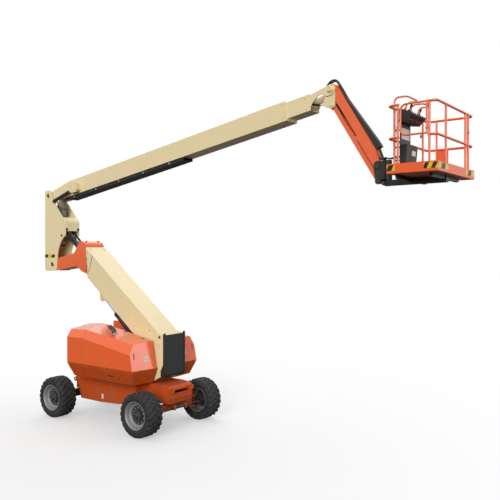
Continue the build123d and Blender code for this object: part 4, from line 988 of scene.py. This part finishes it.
# warning bands round the toe board; shift keeps the slanted bars in place at the bands' height
deckLow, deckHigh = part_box("platform_deck")
deckBands = {"height": 5.653, "high": 0.098, "lean": 0.45, "sideLong": 0.242, "frontLong": 0.484,
             "rearLong": 0.150, "frontAcross": 0.672}
lean = deckBands["lean"]
shift = deckBands["height"] * lean
finishes["sideBand"] = hazardFinish("sideBand", "X", lean, 0.145, deckHigh.x - 0.243 - shift, 0.52)
finishes["frontBand"] = hazardFinish("frontBand", "Y", lean, 0.33, -0.750 - shift, 0.53)
finishes["rearBand"] = hazardFinish("rearBand", "X", lean, 0.24, deckLow.x + 0.012 - shift, 0.42)


def bandPiece(name, finish, x, y, length, onFront=False):
    mesh = bmesh.new()
    for side in (-1, 1):
        normal = (1, 0, 0) if onFront else (0, side, 0)
        addPanel(mesh, (x, side * y, deckBands["height"]), normal, length, deckBands["high"], 0.0016)
    newPiece(name, mesh, finish, "platform")


bandPiece("deckBandsSide", "sideBand", deckHigh.x - 0.122, deckHigh.y, deckBands["sideLong"])
bandPiece("deckBandsFront", "frontBand", deckHigh.x, deckBands["frontAcross"], deckBands["frontLong"], True)
bandPiece("deckBandsRear", "rearBand", deckLow.x + 0.079, deckHigh.y, deckBands["rearLong"])

# anchor plates with rings for harness lines, by the posts; the last number is the way they face
anchorRings = {"places": ((7.516, 0.60, -1), (7.516, -0.60, -1), (8.385, 0.60, 1)), "height": 6.42,
               "ring": 0.026, "wire": 0.005}
mesh = bmesh.new()
for x, y, away in anchorRings["places"]:
    z, ring = anchorRings["height"], anchorRings["ring"]
    middle = Vector((x + away * 0.018, y, z))
    half = Vector((0.006, 0.035, 0.03))
    addBlock(mesh, middle - half, middle + half, 0.003)
    route = [(x + away * 0.026, y + cos(angle) * ring, z - 0.006 + sin(angle) * ring)
             for angle in around(14) + [2 * pi]]
    addHose(mesh, route, anchorRings["wire"], 8, 3)
newPiece("anchorRings", mesh, "zinc", "platform")

# feet of the posts with their bolts
postBolts = {"sides": ((7.6932, -0.892), (8.2552, -0.892), (7.6932, 0.892), (8.2552, 0.892)),
             "ends": ((8.3852, -0.49), (8.3852, 0.49), (8.3852, 0.64), (7.5162, -0.64), (7.5162, 0.64)),
             "below": 0.05, "apart": 0.034, "size": 0.009}
mesh = bmesh.new()
for x, y in postBolts["sides"] + postBolts["ends"]:
    if abs(y) > 0.8:
        inward, across = Vector((0, -1 if y > 0 else 1, 0)), Vector((1, 0, 0))
    else:
        inward, across = Vector((-1 if x > 8 else 1, 0, 0)), Vector((0, 1, 0))
    for way in (-1, 1):
        spot = Vector((x, y, deckHigh.z - postBolts["below"])) + across * way * postBolts["apart"]
        boltOn(mesh, "platform_deck", spot + inward * 0.2, -inward, postBolts["size"])
newPiece("postBolts", mesh, "zinc", "platform")

console = {"rear": 7.5996, "front": 7.7796, "above": 7.0432}


def onConsole(share, y):
    # a point on the panel's sloping top, from its rear edge (0) to its front edge (1)
    x = console["rear"] + (console["front"] - console["rear"]) * share
    return landOn("control_console", (x, y, console["above"]), (0, 0, -1))


# across, share of the way to the front edge, height and knob of each stick
controlSticks = ((-0.440, 0.55, 0.125, 0.021), (-0.020, 0.60, 0.105, 0.019))
mesh = bmesh.new()
for y, share, tall, knob in controlSticks:
    spot, normal = onConsole(share, y)
    for k in range(4):
        # rubber boot in four steps
        foot, low, high = spot + normal * 0.010 * k, 0.040 - 0.008 * k, 0.034 - 0.008 * k
        addRod(mesh, foot - normal * 0.002, foot + normal * 0.010, low, 28, 0.002, high)
    addRod(mesh, spot + normal * 0.03, spot + normal * tall, 0.008, 16)
    addRod(mesh, spot + normal * (tall - 0.055), spot + normal * (tall + 0.012), knob * 0.72, 20, 0.005, knob)
newPiece("controlSticks", mesh, "plastic", "platform")

controlSwitches = {"count": 9, "first": -0.345, "pitch": 0.032, "rows": (0.70, 0.28)}
mesh = bmesh.new()
for k in range(controlSwitches["count"]):
    y = controlSwitches["first"] + k * controlSwitches["pitch"]
    spot, normal = onConsole(controlSwitches["rows"][k % 2], y)
    addRod(mesh, spot - normal * 0.001, spot + normal * 0.006, 0.0095, 6, 0.001)
    addRod(mesh, spot + normal * 0.005, spot + normal * 0.030, 0.0030, 10, 0.001, 0.0042)
newPiece("controlSwitches", mesh, "zinc", "platform")

controlLabels = {"across": (-0.375, -0.235, -0.09), "size": (0.075, 0.150)}
mesh = bmesh.new()
for y in controlLabels["across"]:
    spot, normal = onConsole(0.5, y)
    addPanel(mesh, spot, normal, *controlLabels["size"], 0.0012)
newPiece("controlLabels", mesh, "darkBolt", "platform")

controlStop = {"across": -0.520, "share": 0.30, "neck": 0.012, "radius": 0.021}
mesh = bmesh.new()
spot, normal = onConsole(controlStop["share"], controlStop["across"])
addRod(mesh, spot, spot + normal * 0.018, controlStop["neck"], 20, 0.001)
addRod(mesh, spot + normal * 0.016, spot + normal * 0.030, controlStop["radius"], 28, 0.004)
newPiece("controlStop", mesh, "red", "platform")

# red edge strip in two runs along the panel's front
panelStrip = {"runs": ((-0.52, -0.30), (-0.22, 0.02)), "height": 6.545, "wide": 0.016}
mesh = bmesh.new()
for left, right in panelStrip["runs"]:
    spot, normal = landOn("control_console", (8.3, (left + right) / 2, panelStrip["height"]), (-1, 0, 0))
    addPanel(mesh, spot, normal, right - left, panelStrip["wide"], 0.003, bevel=0.001)
newPiece("panelStrip", mesh, "red", "platform")

# bare plates on the console's front: across, height and size
consolePlates = {"panPlate": ("paleCard", -0.25, 6.33, (0.34, 0.20)),
                 "folderPlate": ("plate", -0.17, 5.98, (0.17, 0.09))}
for name, (finish, y, z, size) in consolePlates.items():
    mesh = bmesh.new()
    spot, normal = landOn("control_console", (8.3, y, z), (-1, 0, 0))
    addPanel(mesh, spot, normal, *size, 0.0016)
    newPiece(name, mesh, finish, "platform")

# cables from the panel down the rear posts to the deck, held by three clamps
panelCables = {"lines": ((-0.585, 0.0), (-0.60, 0.03), (-0.615, 0.06)), "pitch": 0.012, "radius": 0.009,
               "clamps": (6.35, 6.05, 5.82)}
mesh = bmesh.new()
for k, (y, drop) in enumerate(panelCables["lines"]):
    x = 7.545 + panelCables["pitch"] * k
    route = [(7.62, -0.555, 6.60 - drop), (7.60, y - 0.01, 6.56 - drop), (x, y - 0.015, 6.42), (x, y, 6.2),
             (x + 0.008, y + 0.01, 6.0), (x, y, 5.85), (x - 0.02, y, 5.74)]
    addHose(mesh, route, panelCables["radius"], 10, 8)
for z in panelCables["clamps"]:
    addBlock(mesh, (7.522, -0.640, z - 0.012), (7.592, -0.570, z + 0.012), 0.004)
newPiece("panelCables", mesh, "hose", "platform")

# latch beside the gate, with its handle
gateLatch = {"along": 7.7392, "across": -0.894, "height": 6.46, "radius": 0.007}
mesh = bmesh.new()
foot = Vector((gateLatch["along"] - 0.023, gateLatch["across"], gateLatch["height"]))
addBlock(mesh, foot - Vector((0.011, 0.022, 0)), foot + Vector((0.011, 0.022, 0.07)), 0.003)
addRod(mesh, foot + Vector((0, 0, 0.065)), foot + Vector((0, 0, 0.115)), gateLatch["radius"], 16, 0.001)
newPiece("gateLatch", mesh, "zinc", "platform")

# bolts under the support, round its pivot and along its beams
supportBolts = {"ringCount": 10, "ringRadius": 0.045, "ringSize": 0.009, "below": 5.2,
                "along": (7.60, 7.85, 8.10), "across": (-0.60, -0.2, 0.2, 0.60), "size": 0.012}
mesh = bmesh.new()
for angle in around(supportBolts["ringCount"]):
    ring = supportBolts["ringRadius"]
    start = (headX + cos(angle) * ring, sin(angle) * ring, supportBolts["below"])
    boltOn(mesh, "platform_support", start, (0, 0, 1), supportBolts["ringSize"])
for x in supportBolts["along"]:
    for y in supportBolts["across"]:
        start = (x, y, supportBolts["below"])
        boltOn(mesh, "platform_support", start, (0, 0, 1), supportBolts["size"], facing=0.9)
newPiece("supportBolts", mesh, "zinc", "platform")
print("platform dressed")


# stage, light and camera
stage = {"reach": 400, "card": (0.93, 0.93, 0.93, 1), "bounce": (0.055, 0.052, 0.05, 1),
         "shown": 0.42, "mirror": 0.12, "fadeFrom": 4.5, "fadeTo": 11.0}


def makeStage():
    mesh = bmesh.new()
    bmesh.ops.create_grid(mesh, x_segments=1, y_segments=1, size=stage["reach"])
    data = bpy.data.meshes.new("studioFloor")
    mesh.to_mesh(data)
    mesh.free()
    floor = bpy.data.objects.new("studioFloor", data)
    bpy.context.scene.collection.objects.link(floor)
    s = Shade("studioFloorPaint")
    seen = s.add("ShaderNodeLightPath", output="Is Camera Ray")
    mirrored = s.add("ShaderNodeLightPath", output="Is Glossy Ray")
    passed = s.add("ShaderNodeLightPath", output="Is Transmission Ray")
    spread = s.add("ShaderNodeVectorMath", {"operation": "LENGTH"}, {0: s.place()}, "Value")
    far = s.ramp(spread, stage["fadeFrom"], stage["fadeTo"])
    share = seen * (stage["shown"] + far * (1 - stage["shown"])) + mirrored * stage["mirror"] + passed
    shown = s.add("ShaderNodeBsdfDiffuse", {}, {"Color": stage["card"]})
    dull = s.add("ShaderNodeBsdfDiffuse", {}, {"Color": stage["bounce"]})
    glow = s.add("ShaderNodeEmission", {}, {"Color": (1, 1, 1, 1), "Strength": 1.0})
    card = s.add("ShaderNodeMixShader", {}, {0: seen, 1: dull, 2: shown})
    data.materials.append(s.surface(s.add("ShaderNodeMixShader", {}, {0: share, 1: card, 2: glow})))


sky = {"color": (0.96, 0.98, 1.0, 1), "strength": 0.46}


def makeWorld():
    world = bpy.data.worlds.new("studio")
    bpy.context.scene.world = world
    world.use_nodes = True
    tree = world.node_tree
    tree.nodes.clear()
    soft = tree.nodes.new("ShaderNodeBackground")
    soft.inputs["Color"].default_value = sky["color"]
    soft.inputs["Strength"].default_value = sky["strength"]
    white = tree.nodes.new("ShaderNodeBackground")
    white.inputs["Color"].default_value = (1, 1, 1, 1)
    path = tree.nodes.new("ShaderNodeLightPath")
    either = tree.nodes.new("ShaderNodeMath")
    either.operation = "MAXIMUM"
    anyOf = tree.nodes.new("ShaderNodeMath")
    anyOf.operation = "MAXIMUM"
    mixed = tree.nodes.new("ShaderNodeMixShader")
    out = tree.nodes.new("ShaderNodeOutputWorld")
    tree.links.new(path.outputs["Is Camera Ray"], either.inputs[0])
    tree.links.new(path.outputs["Is Glossy Ray"], either.inputs[1])
    tree.links.new(either.outputs[0], anyOf.inputs[0])
    tree.links.new(path.outputs["Is Transmission Ray"], anyOf.inputs[1])
    tree.links.new(anyOf.outputs[0], mixed.inputs[0])
    tree.links.new(soft.outputs[0], mixed.inputs[1])
    tree.links.new(white.outputs[0], mixed.inputs[2])
    tree.links.new(mixed.outputs[0], out.inputs["Surface"])


keySun = {"from": (0.42, -0.84, 0.36), "strength": 2.25, "angle": 38, "color": (1.0, 0.985, 0.96)}
# broad cards whose reflections lie on the sloping faces
cards = {
    "sheenCard": {"place": (22.3, 11.8, 6.9), "size": (12, 6), "power": 1000, "aim": (1.3, -0.7, 1.8)},
    "roofCard": {"place": (-6.6, 6.8, 17.8), "size": (20, 20), "power": 1650, "aim": (1.0, 0.0, 3.0)},
}


def makeLamps():
    data = bpy.data.lights.new("keySun", "SUN")
    data.energy = keySun["strength"]
    data.angle = radians(keySun["angle"])
    data.color = keySun["color"]
    lamp = bpy.data.objects.new("keySun", data)
    lamp.rotation_euler = (-Vector(keySun["from"])).to_track_quat("-Z", "Y").to_euler()
    bpy.context.scene.collection.objects.link(lamp)
    for name, card in cards.items():
        data = bpy.data.lights.new(name, "AREA")
        data.shape = "RECTANGLE"
        data.size, data.size_y = card["size"]
        data.energy = card["power"]
        lamp = bpy.data.objects.new(name, data)
        lamp.location = card["place"]
        aim = Vector(card["aim"]) - Vector(card["place"])
        lamp.rotation_euler = aim.to_track_quat("-Z", "Y").to_euler()
        bpy.context.scene.collection.objects.link(lamp)


view = {"place": (12.384, -11.320, 4.242), "yaw": 37.03, "lens": 46.81}


def makeCamera():
    data = bpy.data.cameras.new("studioCamera")
    data.lens = view["lens"]
    data.sensor_width = 36
    data.clip_end = 500
    camera = bpy.data.objects.new("studioCamera", data)
    camera.location = view["place"]
    camera.rotation_euler = (radians(90), 0, radians(view["yaw"]))
    bpy.context.scene.collection.objects.link(camera)
    bpy.context.scene.camera = camera


makeStage()
makeWorld()
makeLamps()
makeCamera()
bpy.context.scene.view_settings.view_transform = "Standard"
print("stage, lamps and camera set")
